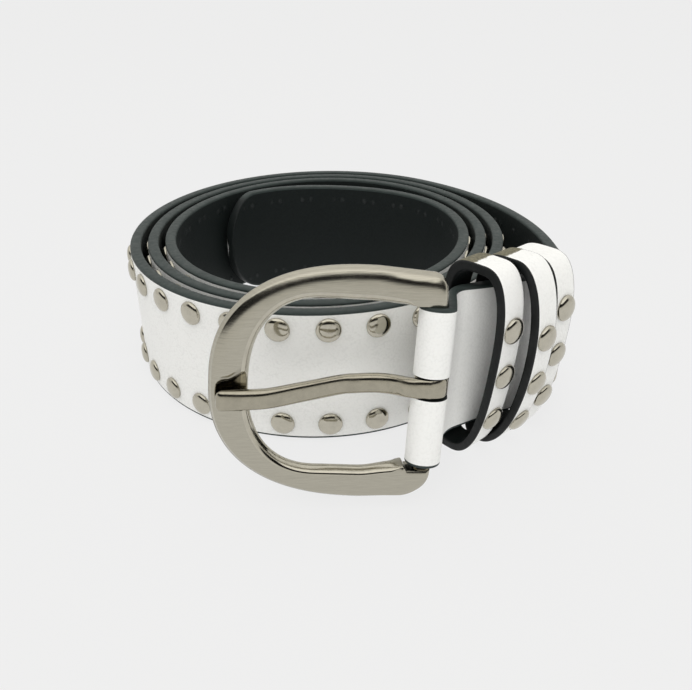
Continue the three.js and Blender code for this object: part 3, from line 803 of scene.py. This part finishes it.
@dataclass
class Strap:
    """The strap: a flat strip with painted edges, its profile carried along the route."""

    hole_radius: float = 2.3
    hole_first: float = 152.0
    hole_pitch: float = 25.0
    hole_count: int = 5
    hole_punch: float = 5.0
    end_round: float = 0.8
    edge_depth: float = 0.85
    edge_round: float = 3.4
    slot_radius: float = 4.9
    slot_height: float = 5.3
    slot_lift: float = 0.75

    def profile(self, half: Array, thick: Array) -> tuple[Array, Array, Array]:
        """One closed section: up the white face, over the top edge, down the backing.

        Each edge is half of a superellipse, edge_depth deep and as wide as the leather is thick.

        Args:
            half: half width of each station.
            thick: thickness of each station.

        Returns:
            The outward and upward coordinates by station and column, and each column's material.
        """
        arc = np.linspace(0.0, np.pi, 11)
        edge_out, edge_up = rounded_power(arc, self.edge_round)
        deep = np.minimum(self.edge_depth, 0.35 * half)[:, None]
        flat = (half[:, None] - deep)
        share = np.linspace(-1.0, 1.0, 15)
        t = thick[:, None] / 2
        face = (np.broadcast_to(t, (len(half), 15)), flat * share)
        top = (t * edge_out[1:-1], flat + deep * edge_up[1:-1])
        back = (np.broadcast_to(-t, (len(half), 15)), -flat * share)
        low = (-t * edge_out[1:-1], -flat - deep * edge_up[1:-1])
        outward = np.concatenate([part[0] for part in (face, top, back, low)], 1)
        upward = np.concatenate([part[1] for part in (face, top, back, low)], 1)
        slots = np.concatenate([np.zeros(15), np.ones(9), np.full(15, 2), np.ones(9)]).astype(int)
        slots[14] = slots[38] = 1
        return outward, upward, slots

    def rounded_ends(self, trace: Trace) -> tuple[Array, ...]:
        """Adds stations that round off both ends, where the section shrinks along a quarter circle.

        Args:
            trace: the stations of the strap.

        Returns:
            Runs, middles, ways up, ways out, half widths and thicknesses.
        """
        reach, run = self.end_round, trace.run
        first = reach * (1 - np.cos(np.linspace(0.0, np.pi / 2, 6)))
        cut = np.sqrt(np.clip(1 - (1 - first / reach) ** 2, 0.02, 1.0))
        keep = (run > reach) & (run < run[-1] - reach)
        runs = np.concatenate([first, run[keep], run[-1] - first[::-1]])
        less = np.concatenate([cut, np.ones(keep.sum()), cut[::-1]])
        mid, up, out = trace.place(runs)
        half = np.interp(runs, run, trace.half) - reach * (1 - less)
        thick = np.interp(runs, run, trace.thick) * (0.35 + 0.65 * less)
        return runs, mid, up, out, half, thick

    def build(self, frame: BeltFrame, finishes: Finishes) -> bpy.types.Object:
        """Lofts the strip, then cuts its holes and the prong's slot."""
        runs, mid, up, out, half, thick = self.rounded_ends(frame.fine)
        outward, upward, slots = self.profile(half, thick)
        grid = mid[:, None] + out[:, None] * outward[..., None] + up[:, None] * upward[..., None]
        uv = np.stack([np.broadcast_to(runs[:, None], upward.shape), upward], -1)
        shell = Shell()
        number = shell.add_grid(grid, uv, slots=slots)
        shell.cap(number, 1)
        looks = [finishes.white, finishes.edge, finishes.lining]
        strap = shell.build("studded_strap", looks)
        cutter = self.punches(frame, looks)
        self.cut(strap, cutter)
        return wear(strap, Body.BELT, Slot.STRAP, "strap")

    def punches(self, frame: BeltFrame, looks: list[bpy.types.Material]) -> bpy.types.Object:
        """Round punches for the holes, and one for the slot in the fold."""
        shell = Shell()
        spots = self.hole_first + self.hole_pitch * np.arange(self.hole_count)
        mid, up, out = frame.fine.place(frame.fine_run(spots))
        bar_up = frame.axes[:, 1]
        centres = np.concatenate([mid, (frame.bar_centre + bar_up * self.slot_lift)[None]])
        ways = np.concatenate([out, bar_up[None]])
        sides = np.concatenate([up, frame.axes[:, 0][None]])
        radius = np.append(np.full(len(spots), self.hole_radius), self.slot_radius)
        length = np.append(np.full(len(spots), self.hole_punch), self.slot_height)
        turn = np.linspace(0, 2 * np.pi, 40, endpoint=False)
        across = np.cross(ways, sides)
        ring = sides[:, None] * np.cos(turn)[:, None] + across[:, None] * np.sin(turn)[:, None]
        ring = ring * radius[:, None, None]
        for k in range(len(centres)):
            ends = np.array([-0.5, 0.5])[:, None, None] * length[k] * ways[k]
            number = shell.add_grid(centres[k] + ring[k][None] + ends, slots=1)
            shell.cap(number, 1)
        return shell.build("punches", looks)

    @staticmethod
    def cut(piece: bpy.types.Object, cutter: bpy.types.Object) -> None:
        """Takes the cutter out of the piece for good, and keeps the new rims crisp."""
        step = piece.modifiers.new("punched", "BOOLEAN")
        step.operation, step.object, step.solver = "DIFFERENCE", cutter, "EXACT"
        bpy.context.view_layer.update()
        graph = bpy.context.evaluated_depsgraph_get()
        made = bpy.data.meshes.new_from_object(piece.evaluated_get(graph))
        piece.modifiers.clear()
        old, piece.data = piece.data, made
        made.name = piece.name
        made.set_sharp_from_angle(angle=np.radians(38.0))
        bpy.data.meshes.remove(old)
        bpy.data.objects.remove(cutter)


@dataclass
class Studs:
    """Low round domes with a small upright rim, in two rows along the strap and down each loop."""

    radius: float = 3.3
    rise: float = 1.6
    rim: float = 0.22
    pitch: float = 12.45
    inset: float = 4.9
    first: float = 22.4
    shown_from: int = 68
    shown: int = 10
    short_of_loops: float = 8.0
    seat_gap: float = 0.3
    strap_width: float = 38.0

    @property
    def row(self) -> float:
        """A row's distance from the strap's middle."""
        return self.strap_width / 2 - self.inset

    def domes(self, feet: Array, outs: Array, sides: int, rings: int, below: float) -> Shell:
        """Domes turned about their own axes: a quarter ellipse above an upright rim.

        Args:
            feet: the points on which they stand.
            outs: the directions of their axes.
            sides: points around each.
            rings: rings up each dome.
            below: how far the rim reaches under the foot.

        Returns:
            The closed shells.
        """
        climb = np.linspace(0.0, np.pi / 2, rings + 1)[:-1]
        radius = np.concatenate([[self.radius * 0.97], self.radius * np.cos(climb) ** 0.86])
        height = np.concatenate([[-below], self.rim + (self.rise - self.rim) * np.sin(climb)])
        helper = np.where(np.abs(outs[:, 2:]) > 0.8, [[1.0, 0, 0]], [[0, 0, 1.0]])
        side = unit(np.cross(helper, outs))
        other = np.cross(outs, side)
        turn = np.linspace(0, 2 * np.pi, sides, endpoint=False)
        ring = side[:, None] * np.cos(turn)[:, None] + other[:, None] * np.sin(turn)[:, None]
        grid = (feet[:, None, None] + ring[:, None] * radius[:, None, None]
                + outs[:, None, None] * height[:, None, None])
        shell = Shell()
        for dome in grid:
            number = shell.add_grid(dome)
            shell.cap(number)
        return shell

    def rows(self, frame: BeltFrame, stud_end: float) -> tuple[Array, Array, Array]:
        """Feet and axes of both rows along the strap, and each stud's column number."""
        columns = np.arange(int(np.ceil((stud_end - self.first) / self.pitch)))
        mid, up, out = frame.fine.place(frame.fine_run(self.first + self.pitch * columns))
        face = frame.route.thick / 2
        feet = np.stack([mid + out * face + up * side * self.row for side in (1, -1)], 1)
        return feet, np.stack([out, out], 1), columns

    def build(self, frame: BeltFrame, finishes: Finishes, stud_end: float) -> None:
        """Makes the hidden studs as one piece and each shown stud as its own."""
        feet, outs, columns = self.rows(frame, stud_end)
        shown = (columns >= self.shown_from) & (columns < self.shown_from + self.shown)
        rest = self.domes(feet[~shown].reshape(-1, 3), outs[~shown].reshape(-1, 3), 14, 4, 0.2)
        wear(rest.build("studs_round_the_coil", [finishes.bright]), Body.BELT, Slot.BRIGHT, "strap")
        for column in columns[shown]:
            for side, row in enumerate(("top", "bottom")):
                number = column - self.shown_from + 1
                dome = self.domes(feet[column, side][None], outs[column, side][None], 40, 10, 0.1)
                piece = dome.build(f"dome_{row}_{number}", [finishes.bright])
                wear(piece, Body.BELT, Slot.BRIGHT, f"stud_{row}_{number}")


class Loop(Enum):
    """The three loops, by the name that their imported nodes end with."""

    NEAR_BUCKLE = "near_buckle"
    MIDDLE = "middle"
    FAR = "far"


@dataclass(frozen=True)
class LoopSizes:
    """One loop's own sizes, in mm and degrees."""

    gap: float
    forward: float
    front: float
    front_round: float
    half: float
    tip: float
    studs_up: float
    raw_from: float

    @property
    def slope(self) -> float:
        """Sideways shift to the front for each mm of height."""
        return float(np.tan(np.radians(self.tip)))


@dataclass
class Keepers:
    """Three flat leather loops round the strap, all facing the same way."""

    wide: float = 7.7
    wall: float = 2.3
    back: float = 8.6
    back_square: float = 4.5
    turn: float = 41.5
    start: float = 0.6
    stud_pitch: float = 13.0
    studs: int = 3
    corner: float = 0.45
    sizes: dict[Loop, LoopSizes] = field(default_factory=lambda: {
        Loop.NEAR_BUCKLE: LoopSizes(0.0, 1.4, 9.4, 2.6, 26.7, 6.4, 11.9, -2.9),
        Loop.MIDDLE: LoopSizes(0.7, 2.0, 10.6, 2.1, 26.7, 6.5, 8.5, -3.4),
        Loop.FAR: LoopSizes(0.3, 0.4, 9.6, 2.5, 26.25, 6.5, 13.8, -9.5),
    })

    def outline(self, size: LoopSizes, inward: float, angles: Array) -> Array:
        """A loop seen along the strap: a round front, a squarer and straighter back.

        Height is a superellipse's sine term; reach is its cosine term, to the front or to the back,
        carried along with the height by the slope.

        Args:
            size: the loop's own sizes.
            inward: distance in from the outer face.
            angles: 0 at the front, a quarter turn at the top.

        Returns:
            Points of reach and height.
        """
        c, s = np.cos(angles), np.sin(angles)
        power = 2.0 / np.where(c >= 0, size.front_round, self.back_square)
        y = (size.half - inward) * np.sign(s) * np.abs(s) ** power
        reach = np.where(c >= 0, size.front - inward, -(self.back - inward) - size.slope * y)
        return np.stack([size.slope * y + reach * np.abs(c) ** power, y], -1)

    def even_angles(self, size: LoopSizes, count: int) -> Array:
        """Angles at equal steps along the outer outline, from the bottom round by the front."""
        t = np.linspace(-1.0, 1.0, 4001)
        fine = np.sign(t) * np.abs(t) ** 4 * 0.6
        dense = np.unique(np.concatenate([
            np.linspace(-0.5 * np.pi, 1.5 * np.pi, 8001), 0.5 * np.pi + fine,
            fine[t > 0] - 0.5 * np.pi, 1.5 * np.pi - fine[t > 0],
        ]))
        line = self.outline(size, 0.0, dense)
        run = run_along(line)
        return np.interp(np.linspace(0, run[-1], count, endpoint=False), run, dense)

    def section(self) -> tuple[Array, Array, Array]:
        """Across the loop: outer face, far edge, lining, near edge, with quarter-circle corners.

        Returns:
            The share of the wall from outer to inner, the share of the width, and each column's slot.
        """
        r_in, r_across = self.corner / self.wall, self.corner / self.wide
        arc = np.linspace(0, np.pi / 2, 5)
        bend_in, bend_across = 1 - np.cos(arc), 1 - np.sin(arc)
        outer = np.linspace(r_across, 1 - r_across, 9)
        side = np.linspace(r_in, 1 - r_in, 4)
        depth = np.concatenate([np.zeros(9), bend_in[1:] * r_in, side[1:], 1 - r_in + r_in * np.sin(arc[1:]),
                                np.ones(8), 1 - r_in * bend_in[1:], side[::-1][1:], r_in * bend_across[1:-1]])
        across = np.concatenate([outer, 1 - r_across + r_across * np.sin(arc[1:]), np.ones(3),
                                 1 - r_across * bend_in[1:], outer[::-1][1:], r_across * bend_across[1:],
                                 np.zeros(3), r_across * bend_in[1:-1]])
        slots = np.concatenate([np.zeros(8), np.ones(11), np.full(9, 2), np.ones(len(depth) - 28)])
        return depth, across, slots.astype(int)

    def strap_across(self, trace: Trace, offset: Array, along: float) -> Array:
        """Where the strap's middle, seen from above, passes so far along the way the loops face."""
        face_way = heading_vector(self.turn)
        reached = trace.at @ face_way
        i = trace.bend
        while reached[i - 1] < along:
            i -= 1
        share = (along - reached[i - 1]) / (reached[i] - reached[i - 1])
        return trace.at[i - 1] + (trace.at[i] - trace.at[i - 1]) * share + offset[:2]

    def build(self, frame: BeltFrame, finishes: Finishes, studs: Studs) -> None:
        """Makes the three loops with their studs."""
        face_way = np.append(heading_vector(self.turn), 0.0)
        front_way = np.append(heading_vector(self.turn - 90.0), 0.0)
        along = float(frame.coarse.at[frame.coarse.bend] @ face_way[:2]) + self.start
        depth, across, slots = self.section()
        for loop, size in self.sizes.items():
            along += size.gap
            middle = self.strap_across(frame.coarse, frame.offset, along) + front_way[:2] * size.forward
            stand = np.append(middle, size.half + studs.seat_gap)
            angles = self.even_angles(size, 200)
            outer, inner = self.outline(size, 0.0, angles), self.outline(size, self.wall, angles)
            flat = outer[:, None] + (inner - outer)[:, None] * depth[None, :, None]
            ways = np.stack([front_way, np.array([0, 0, 1.0])])
            grid = stand + flat @ ways + across[None, :, None] * self.wide * face_way
            reach = flat[..., 0] - size.slope * flat[..., 1] - size.raw_from
            shell = Shell()
            shell.add_grid(grid, np.stack([reach, flat[..., 1]], -1), along=True, slots=slots)
            looks = [finishes.keeper_white, finishes.keeper_edge, finishes.lining]
            piece = shell.build(f"loop_{loop.value}", looks)
            wear(piece, Body.BELT, Slot.KEEPER, f"keeper_{loop.value}")
            self.stud_loop(loop, stand + face_way * self.wide / 2, ways, finishes, studs)
            along += self.wide

    def stud_loop(self, loop: Loop, stand: Array, ways: Array, finishes: Finishes, studs: Studs) -> None:
        """Puts studs down the front of a loop, one pitch apart along its outline.

        Args:
            loop: which loop.
            stand: the middle of the loop, halfway across its width.
            ways: the way to the front and the way up.
            finishes: the belt's finishes.
            studs: the studs' sizes.
        """
        size = self.sizes[loop]
        line = self.outline(size, 0.0, np.linspace(-np.pi / 2, np.pi / 2, 361))
        run = run_along(line)
        for i in range(self.studs):
            k = int(np.argmax(run >= run[180] + size.studs_up - i * self.stud_pitch))
            tangent = unit(line[k + 3] - line[k - 3])
            out = np.array([tangent[1], -tangent[0]]) @ ways
            foot = stand + line[k] @ ways + out * 0.02
            dome = studs.domes(foot[None], out[None], 44, 10, 0.15)
            piece = dome.build(f"dome_{loop.value}_{i + 1}", [finishes.bright])
            wear(piece, Body.BELT, Slot.BRIGHT, f"stud_{loop.value}_{i + 1}")


@dataclass
class Buckle:
    """The bow with its two arms and its bar; drawn in its own plane, x to the right of the bar.

    outer_fall and inner_fall are the face's drops at the rim and at the window: each row says how far
    in from the edge a point lies and how far under the face.
    """

    reach: float = 50.2
    half: float = 27.7
    arm_half: float = 27.0
    arm_run: float = 14.0
    outer_round: float = 2.42
    arm_past: float = 1.6
    arm_corner: float = 3.6
    end_round: float = 1.1
    window_reach: float = 41.4
    window_half: float = 19.9
    window_run: float = 25.0
    window_round: float = 2.36
    thick: float = 4.8
    arm_corner_low: float = 6.8
    outer_fall: Array = field(default_factory=lambda: np.array([
        (4.5, 0.0), (3.8, 0.025), (3.2, 0.07), (2.75, 0.125), (2.4, 0.19), (2.05, 0.285), (1.65, 0.43),
        (1.30, 0.575), (1.04, 0.69), (0.92, 0.765), (0.81, 0.86), (0.70, 1.02), (0.56, 1.30),
        (0.34, 1.75), (0.0, 2.15),
    ]))
    inner_fall: Array = field(default_factory=lambda: np.array([
        (1.6, 0.0), (1.4, 0.03), (1.2, 0.09), (1.0, 0.19), (0.85, 0.30), (0.72, 0.42), (0.62, 0.56),
        (0.48, 0.86), (0.28, 1.30), (0.1, 1.75), (0.0, 2.15),
    ]))
    seat_depth: float = 1.45
    seat_middle: float = -2.15
    seat_half: float = 4.05
    seat_end: float = 49.6
    seat_opens: float = 2.6
    flare: float = 0.9
    fuller_end: float = 0.3
    close_to_fold: float = 0.6
    bar_radius: float = 1.8

    def bow(self, reach: float, half: float, run: float, exponent: float) -> Array:
        """A bow's outline from its top end to its bottom end: half a superellipse."""
        turn = np.linspace(0.0, np.pi, 4001)
        turn = np.pi / 2 + turn
        c, s = rounded_power(turn, exponent)
        return np.stack([-run + (reach - run) * c, half * s], -1)

    def rounded_off(self, x: Array, corner: float) -> Array:
        """How far a quarter circle of that radius takes an arm's outer side in towards its end."""
        into = np.clip(x - (self.arm_past - corner), 0, corner)
        return corner - np.sqrt(corner**2 - into**2)

    def pairs(self) -> tuple[Array, Array, Array]:
        """Rim points and window points that lie opposite each other, from arm end to arm end.

        On the arms a pair has the same x, and round the bow it lies on one ray from the point where
        the window's bow begins.

        Returns:
            The rim points, the window points, and how much of the full thickness each pair has.
        """
        rim = self.bow(self.reach, self.half, self.arm_run, self.outer_round)
        window = self.bow(self.window_reach, self.window_half, self.window_run, self.window_round)
        near = np.array([-self.window_run, 0.0])
        angle = np.concatenate([np.linspace(90, 172, 60), np.linspace(172.4, 206, 90),
                                np.linspace(206.8, 270, 50)])

        def along_ray(line: Array) -> Array:
            """Where each ray crosses a line."""
            beside = line - near
            at = np.degrees(np.arctan2(beside[:, 1], beside[:, 0])) % 360.0
            radius = np.interp(angle, at, np.linalg.norm(beside, axis=1))
            return near + radius[:, None] * heading_vector(angle)

        rim_bow, window_bow = along_ray(rim), along_ray(window)
        last, tip = self.arm_past, self.end_round
        x = np.concatenate([last - tip * (1 - np.cos(np.linspace(0, np.pi / 2, 7))),
                            np.linspace(last - 1.4, -3.9, 12), np.linspace(-4.1, -5.1, 9),
                            np.linspace(-5.3, -self.window_run, 34)[:-1]])
        high = np.interp(-x, -rim[:2001, 0], rim[:2001, 1])
        along = np.clip((-x - 2.0) / (self.arm_run - 2.0), 0, 1)
        straight = self.arm_half + (self.half - self.arm_half) * along
        high = np.where(x > -self.arm_run, straight, high)
        upper = high - self.rounded_off(x, self.arm_corner)
        lower = high - self.rounded_off(x, self.arm_corner_low)
        full = np.sqrt(np.clip(1 - np.clip((x - last + tip) / tip, 0, 1) ** 2, 0.0, 1.0)) * 0.5 + 0.5
        close = self.window_half - self.close_to_fold * smoothstep(x, -16.0, -5.0)
        flared = close - self.flare * smoothstep(x, -15.0, -5.2) * (1 - smoothstep(x, -5.0, -4.1))
        flip = np.array([1.0, -1.0])
        sides = [np.stack([x, y], -1) for y in (upper, lower, close, flared)]
        rims = np.concatenate([sides[0], rim_bow, sides[1][::-1] * flip])
        windows = np.concatenate([sides[2], window_bow, sides[3][::-1] * flip])
        return rims, windows, np.concatenate([full, np.ones(len(angle)), full[::-1]])

    def section(self) -> tuple[Array, Array, Array, Array]:
        """Across the bow: face, ridge and side, back, and the polished side of the window.

        Returns:
            Share of the way from window to rim, mm beyond that, height over the middle, and slots.
        """
        deep = self.thick / 2
        out_shift, out_high = self.outer_fall.T * [[-1.0], [-1.0]] + [[0.0], [deep]]
        in_shift, in_high = self.inner_fall.T * [[1.0], [-1.0]] + [[0.0], [deep]]
        share = np.linspace(0, 1, 22)
        face_shift = in_shift[0] + (out_shift[0] - in_shift[0]) * share
        count = len(share), len(out_shift) - 1, len(in_shift) - 1
        shares = np.concatenate([share, np.ones(2 * count[1] + 1), share[::-1][1:],
                                 np.zeros(2 * count[2])])
        shift = np.concatenate([face_shift, out_shift[1:], out_shift[::-1],
                                face_shift[::-1][1:], in_shift[1:], in_shift[::-1][:-1]])
        high = np.concatenate([np.full(count[0], deep), out_high[1:], -out_high[::-1],
                               np.full(count[0] - 1, -deep), -in_high[1:], in_high[::-1][:-1]])
        slots = np.zeros(len(high), int)
        slots[-2 * count[2]:] = 1
        return shares, shift, high, slots

    def notch(self, points: Array) -> tuple[Array, Array]:
        """Sinks the prong's seat into the face: a round-bottomed U across the bow, with a lip.

        Args:
            points: points of the bow in the buckle's own plane.

        Returns:
            The points with the seat sunk, and how deep each was sunk, in mm.
        """
        x, y, z = points[..., 0], points[..., 1], points[..., 2]
        above = self.seat_half + self.seat_opens * smoothstep(x, -46.2, -41.9)
        off = np.abs(y - self.seat_middle) / np.where(y > self.seat_middle, above, self.seat_half)
        end = np.clip((-x - self.seat_end + self.seat_half) / self.seat_half, 0.0, 1.0)
        away = (off**2.6 + end**2.6) ** (1 / 2.6)
        lip = 0.35 * (1.0 - smoothstep(away, 0.80, 1.06))
        sunk = lip + (self.seat_depth - 0.35) * np.sqrt(np.clip(1.0 - (away / 0.74) ** 2, 0.0, 1.0))
        on_bow = (x < -self.window_reach + 4.0) & (z > 0.2)
        deep = np.where(on_bow, np.clip(z - (self.thick / 2 - sunk), 0.0, None), 0.0)
        return np.stack([x, y, z - deep], -1), deep

    def build(self, frame: BeltFrame, finishes: Finishes) -> None:
        """Makes the bow and the bar."""
        rims, windows, full = self.pairs()
        share, shift, high, slots = self.section()
        across = unit(rims - windows)
        room = np.linalg.norm(rims - windows, axis=1)[:, None]
        fits = np.clip((room - 0.3) / (self.outer_fall[0, 0] + self.inner_fall[0, 0]), 0.05, 1.0)
        upright = fits * (1.0 - 0.8 * smoothstep(windows[:, :1], -8.0, -5.0) * (share == 0))
        flat = (windows[:, None] + (rims - windows)[:, None] * share[None, :, None]
                + across[:, None] * (shift * upright)[..., None])
        fuller = 1.0 + self.fuller_end * smoothstep(windows[:, :1], -13.0, -4.5) * (high > 0)
        points = np.concatenate([flat, (high * fuller * full[:, None])[..., None]], -1)
        shell = Shell()
        sunk, deep = self.notch(points)
        # The depth of the sunk seat goes into u, where the satin finish paints shade.
        number = shell.add_grid(frame.to_row(sunk), np.stack([deep, points[..., 1]], -1), slots=slots)
        shell.cap(number)
        piece = shell.build("bow_and_arms", [finishes.satin, finishes.bright])
        wear(piece, Body.BUCKLE, Slot.SATIN, "buckle_frame")
        turn = np.linspace(0, 2 * np.pi, 32, endpoint=False)
        ring = np.stack([np.sin(turn), np.zeros(32), np.cos(turn)], -1) * self.bar_radius
        reach = np.array([-1.0, -0.5, 0.0, 0.5, 1.0]) * (self.window_half + 0.8)
        rod = ring[None] + np.array([0, 1.0, 0]) * reach[:, None, None]
        shell = Shell()
        number = shell.add_grid(frame.to_row(rod))
        shell.cap(number)
        wear(shell.build("bar_in_the_fold", [finishes.satin]), Body.BUCKLE, Slot.SATIN, "buckle_frame")


@dataclass
class Prong:
    """The prong: a flat bar curled round the buckle's bar, dipping before it climbs to its seat."""

    width: float = 4.7
    eye_lift: float = 0.75
    thick: float = 3.0
    wall: float = 1.9
    reach: float = 48.3
    dip: float = 4.2
    droop: float = 5.4
    bar_radius: float = 1.8
    bar_clear: float = 0.4
    rest: float = 3.3
    corner: float = 2.7

    def side_view(self, count: int) -> tuple[Array, Array]:
        """The middle of the bar seen from below: behind the bar, round its front, then out.

        Args:
            count: how many points to return.

        Returns:
            Points of reach and height out of the buckle's plane, and the thickness at each.
        """
        around = self.bar_radius + self.bar_clear + self.wall / 2
        curl = np.radians(np.linspace(-158.0, 108.0, 30))
        eye = around * np.stack([np.cos(curl), np.sin(curl)], -1)
        rows = np.array([(-0.105, 0.9), (-0.15, -0.9), (-0.20, -2.5), (-0.26, -3.5), (-0.34, -3.75),
                         (-0.42, -0.80 * self.dip), (-0.60, 0.05 * self.dip),
                         (-0.76, self.rest), (-0.88, self.rest + 0.1), (-1.0, self.rest)])
        line = spline_through(np.concatenate([eye, rows * [self.reach, 1.0]]), count)
        run = run_along(line)
        eye_run = around * np.radians(266.0)
        thick = self.wall + (self.thick - self.wall) * smoothstep(run, eye_run * 0.82, eye_run + 5.0)
        thick = thick * (1 - 0.28 * smoothstep(run, run[-1] - 6.5, run[-1] - 0.5))
        return line, thick

    def build(self, frame: BeltFrame, finishes: Finishes) -> None:
        """Carries a rounded rectangle along the side view, and rounds off both ends."""
        line, thick = self.side_view(230)
        run = run_along(line)
        ends = np.minimum(run / 0.7, (run[-1] - run) / 1.5).clip(0, 1)
        shrink = np.sqrt(np.clip(1 - (1 - ends) ** 2, 0.0, 1.0)).clip(0.08, 1.0)
        ahead = unit(np.gradient(line, axis=0))
        normal = np.stack([-ahead[:, 1], ahead[:, 0]], -1)
        turn = np.linspace(0, 2 * np.pi, 36, endpoint=False)
        side, lift = rounded_power(turn, self.corner)
        w = self.width / 2 * (0.45 + 0.55 * shrink) * (1.0 + 0.07 * smoothstep(line[:, 0], -4.5, -2.0))
        t = thick / 2 * shrink
        x = line[:, None, 0] + normal[:, None, 0] * t[:, None] * lift
        z = line[:, None, 1] + normal[:, None, 1] * t[:, None] * lift
        y = w[:, None] * side + self.eye_lift + np.tan(np.radians(self.droop)) * np.minimum(x, 0.0)
        shell = Shell()
        number = shell.add_grid(frame.to_row(np.stack([x, y, z], -1))[:, ::-1])
        shell.cap(number)
        piece = shell.build("prong_curled_on_its_bar", [finishes.prong])
        wear(piece, Body.PRONG, Slot.BRIGHT, "buckle_prong")


@dataclass
class Studio:
    """A pale floor, soft light and the camera where the photographer stood."""

    camera_mm: tuple[float, float, float] = (2.074, -211.169, 113.7)
    pitch: float = 28.41
    roll: float = -0.4
    lens: float = 36.77
    floor: float = 0.84

    def camera(self) -> None:
        """Looks down by the pitch towards +Y, turned by the roll."""
        pitch, roll = np.radians(self.pitch), np.radians(self.roll)
        ahead = np.array([0, np.cos(pitch), -np.sin(pitch)])
        right = np.array([1.0, 0, 0])
        up = np.cross(right, ahead)
        x = np.cos(roll) * right + np.sin(roll) * up
        y = -np.sin(roll) * right + np.cos(roll) * up
        lens = bpy.data.cameras.new("photographer")
        lens.lens, lens.sensor_width, lens.clip_start, lens.clip_end = self.lens, 36.0, 0.01, 100.0
        made = bpy.data.objects.new("photographer", lens)
        turn = np.eye(4)
        turn[:3, 0], turn[:3, 1], turn[:3, 2] = x, y, -ahead
        turn[:3, 3] = np.array(self.camera_mm) * MM
        made.matrix_world = Matrix(turn.tolist())
        bpy.context.scene.collection.objects.link(made)
        bpy.context.scene.camera = made

    def ground(self) -> None:
        """A wide round floor that glows a little, so that shadows on it stay faint."""
        turn = np.linspace(0, 2 * np.pi, 96, endpoint=False)
        ring = np.stack([np.cos(turn), np.sin(turn), np.zeros(96)], -1)
        shell = Shell()
        radii = np.array([30000.0, 6000.0, 1200.0, 300.0])
        number = shell.add_grid(ring[None] * radii[:, None, None] + [0, 0, -0.15])
        shell.close(number[-1:], False)
        g = Graph("pale_floor")
        tone = rgb(self.floor, self.floor, self.floor)
        material = g.finish(Base_Color=rgb(0.08, 0.08, 0.08), Roughness=1.0, Specular_IOR_Level=0.0,
                            Emission_Color=tone, Emission_Strength=0.92)
        shell.build("studio_floor", [material])

    def world(self) -> None:
        """Two skies by height, one behind the photographer and one behind the belt.

        In front there is pale light at eye level, a dark stretch over it and a bright ceiling; at
        the back the light is even. The share between them follows how far a direction points to -Y.
        """
        world = bpy.data.worlds.new("studio")
        world.use_nodes = True
        tree = world.node_tree
        where = tree.nodes.new("ShaderNodeTexCoord")
        parts = tree.nodes.new("ShaderNodeSeparateXYZ")
        tree.links.new(where.outputs["Generated"], parts.inputs[0])

        def sky(stops: list[tuple[float, float]]) -> bpy.types.NodeSocket:
            """A grey ramp by height."""
            ramp = tree.nodes.new("ShaderNodeValToRGB")
            tree.links.new(parts.outputs["Z"], ramp.inputs[0])
            for place, _ in stops[1:-1]:
                ramp.color_ramp.elements.new(place)
            for element, (place, tone) in zip(ramp.color_ramp.elements, stops):
                element.position, element.color = place, (tone, tone * 0.99, tone * 0.965, 1.0)
            return ramp.outputs[0]

        front = sky([(0.0, 0.86), (0.21, 0.80), (0.30, 0.012), (0.66, 0.010), (0.73, 1.5), (1.0, 1.25)])
        back = sky([(0.0, 0.76), (0.40, 0.85), (0.75, 1.0), (1.0, 1.25)])
        span = tree.nodes.new("ShaderNodeMapRange")
        span.interpolation_type = "SMOOTHSTEP"
        for key, value in {"From Min": 0.15, "From Max": -0.25}.items():
            span.inputs[key].default_value = value
        tree.links.new(parts.outputs["Y"], span.inputs["Value"])
        mix = tree.nodes.new("ShaderNodeMix")
        mix.data_type = "RGBA"
        tree.links.new(span.outputs[0], mix.inputs[0])
        tree.links.new(back, mix.inputs[6])
        tree.links.new(front, mix.inputs[7])
        tree.links.new(mix.outputs[2], tree.nodes["Background"].inputs[0])
        bpy.context.scene.world = world

    def lamp(self, name: str, at: tuple[float, float, float], size: float, watts: float) -> None:
        """A square soft light aimed at the belt's middle, left out of the metal's reflections."""
        light = bpy.data.lights.new(name, "AREA")
        light.size, light.energy, light.shape = size, watts, "SQUARE"
        made = bpy.data.objects.new(name, light)
        made.location, made.visible_glossy = at, False
        aim = Vector((0, 0, 0.025)) - Vector(at)
        made.rotation_euler = aim.to_track_quat("-Z", "Y").to_euler()
        bpy.context.scene.collection.objects.link(made)

    def build(self) -> None:
        """Sets up everything that isn't the belt."""
        self.camera()
        self.ground()
        self.world()
        self.lamp("overhead", (0.05, -0.42, 0.80), 1.0, 1.6)
        self.lamp("beside_camera", (-0.03, -0.94, 0.50), 1.4, 3.3)
        view = bpy.context.scene.view_settings
        view.view_transform, view.look, view.exposure = "Standard", "None", 0.0


def main() -> None:
    """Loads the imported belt, dresses it piece by piece and sets up the studio."""
    logging.basicConfig(level=logging.INFO, format="%(name)s: %(message)s")
    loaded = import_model()
    Studio().build()
    joint = np.array(loaded["joints"][0]["pos_m"]) / MM
    route, studs, keepers = StrapRoute(), Studs(), Keepers()
    frame = BeltFrame.found(route, joint)
    finishes = Finishes.mixed(studs)
    Strap().build(frame, finishes)
    span = sum(size.gap + keepers.wide for size in keepers.sizes.values())
    stud_end = frame.coarse.run[frame.coarse.bend] - keepers.start - span - studs.short_of_loops
    studs.build(frame, finishes, float(stud_end))
    keepers.build(frame, finishes, studs)
    Buckle().build(frame, finishes)
    Prong().build(frame, finishes)


if __name__ == "__main__":
    main()
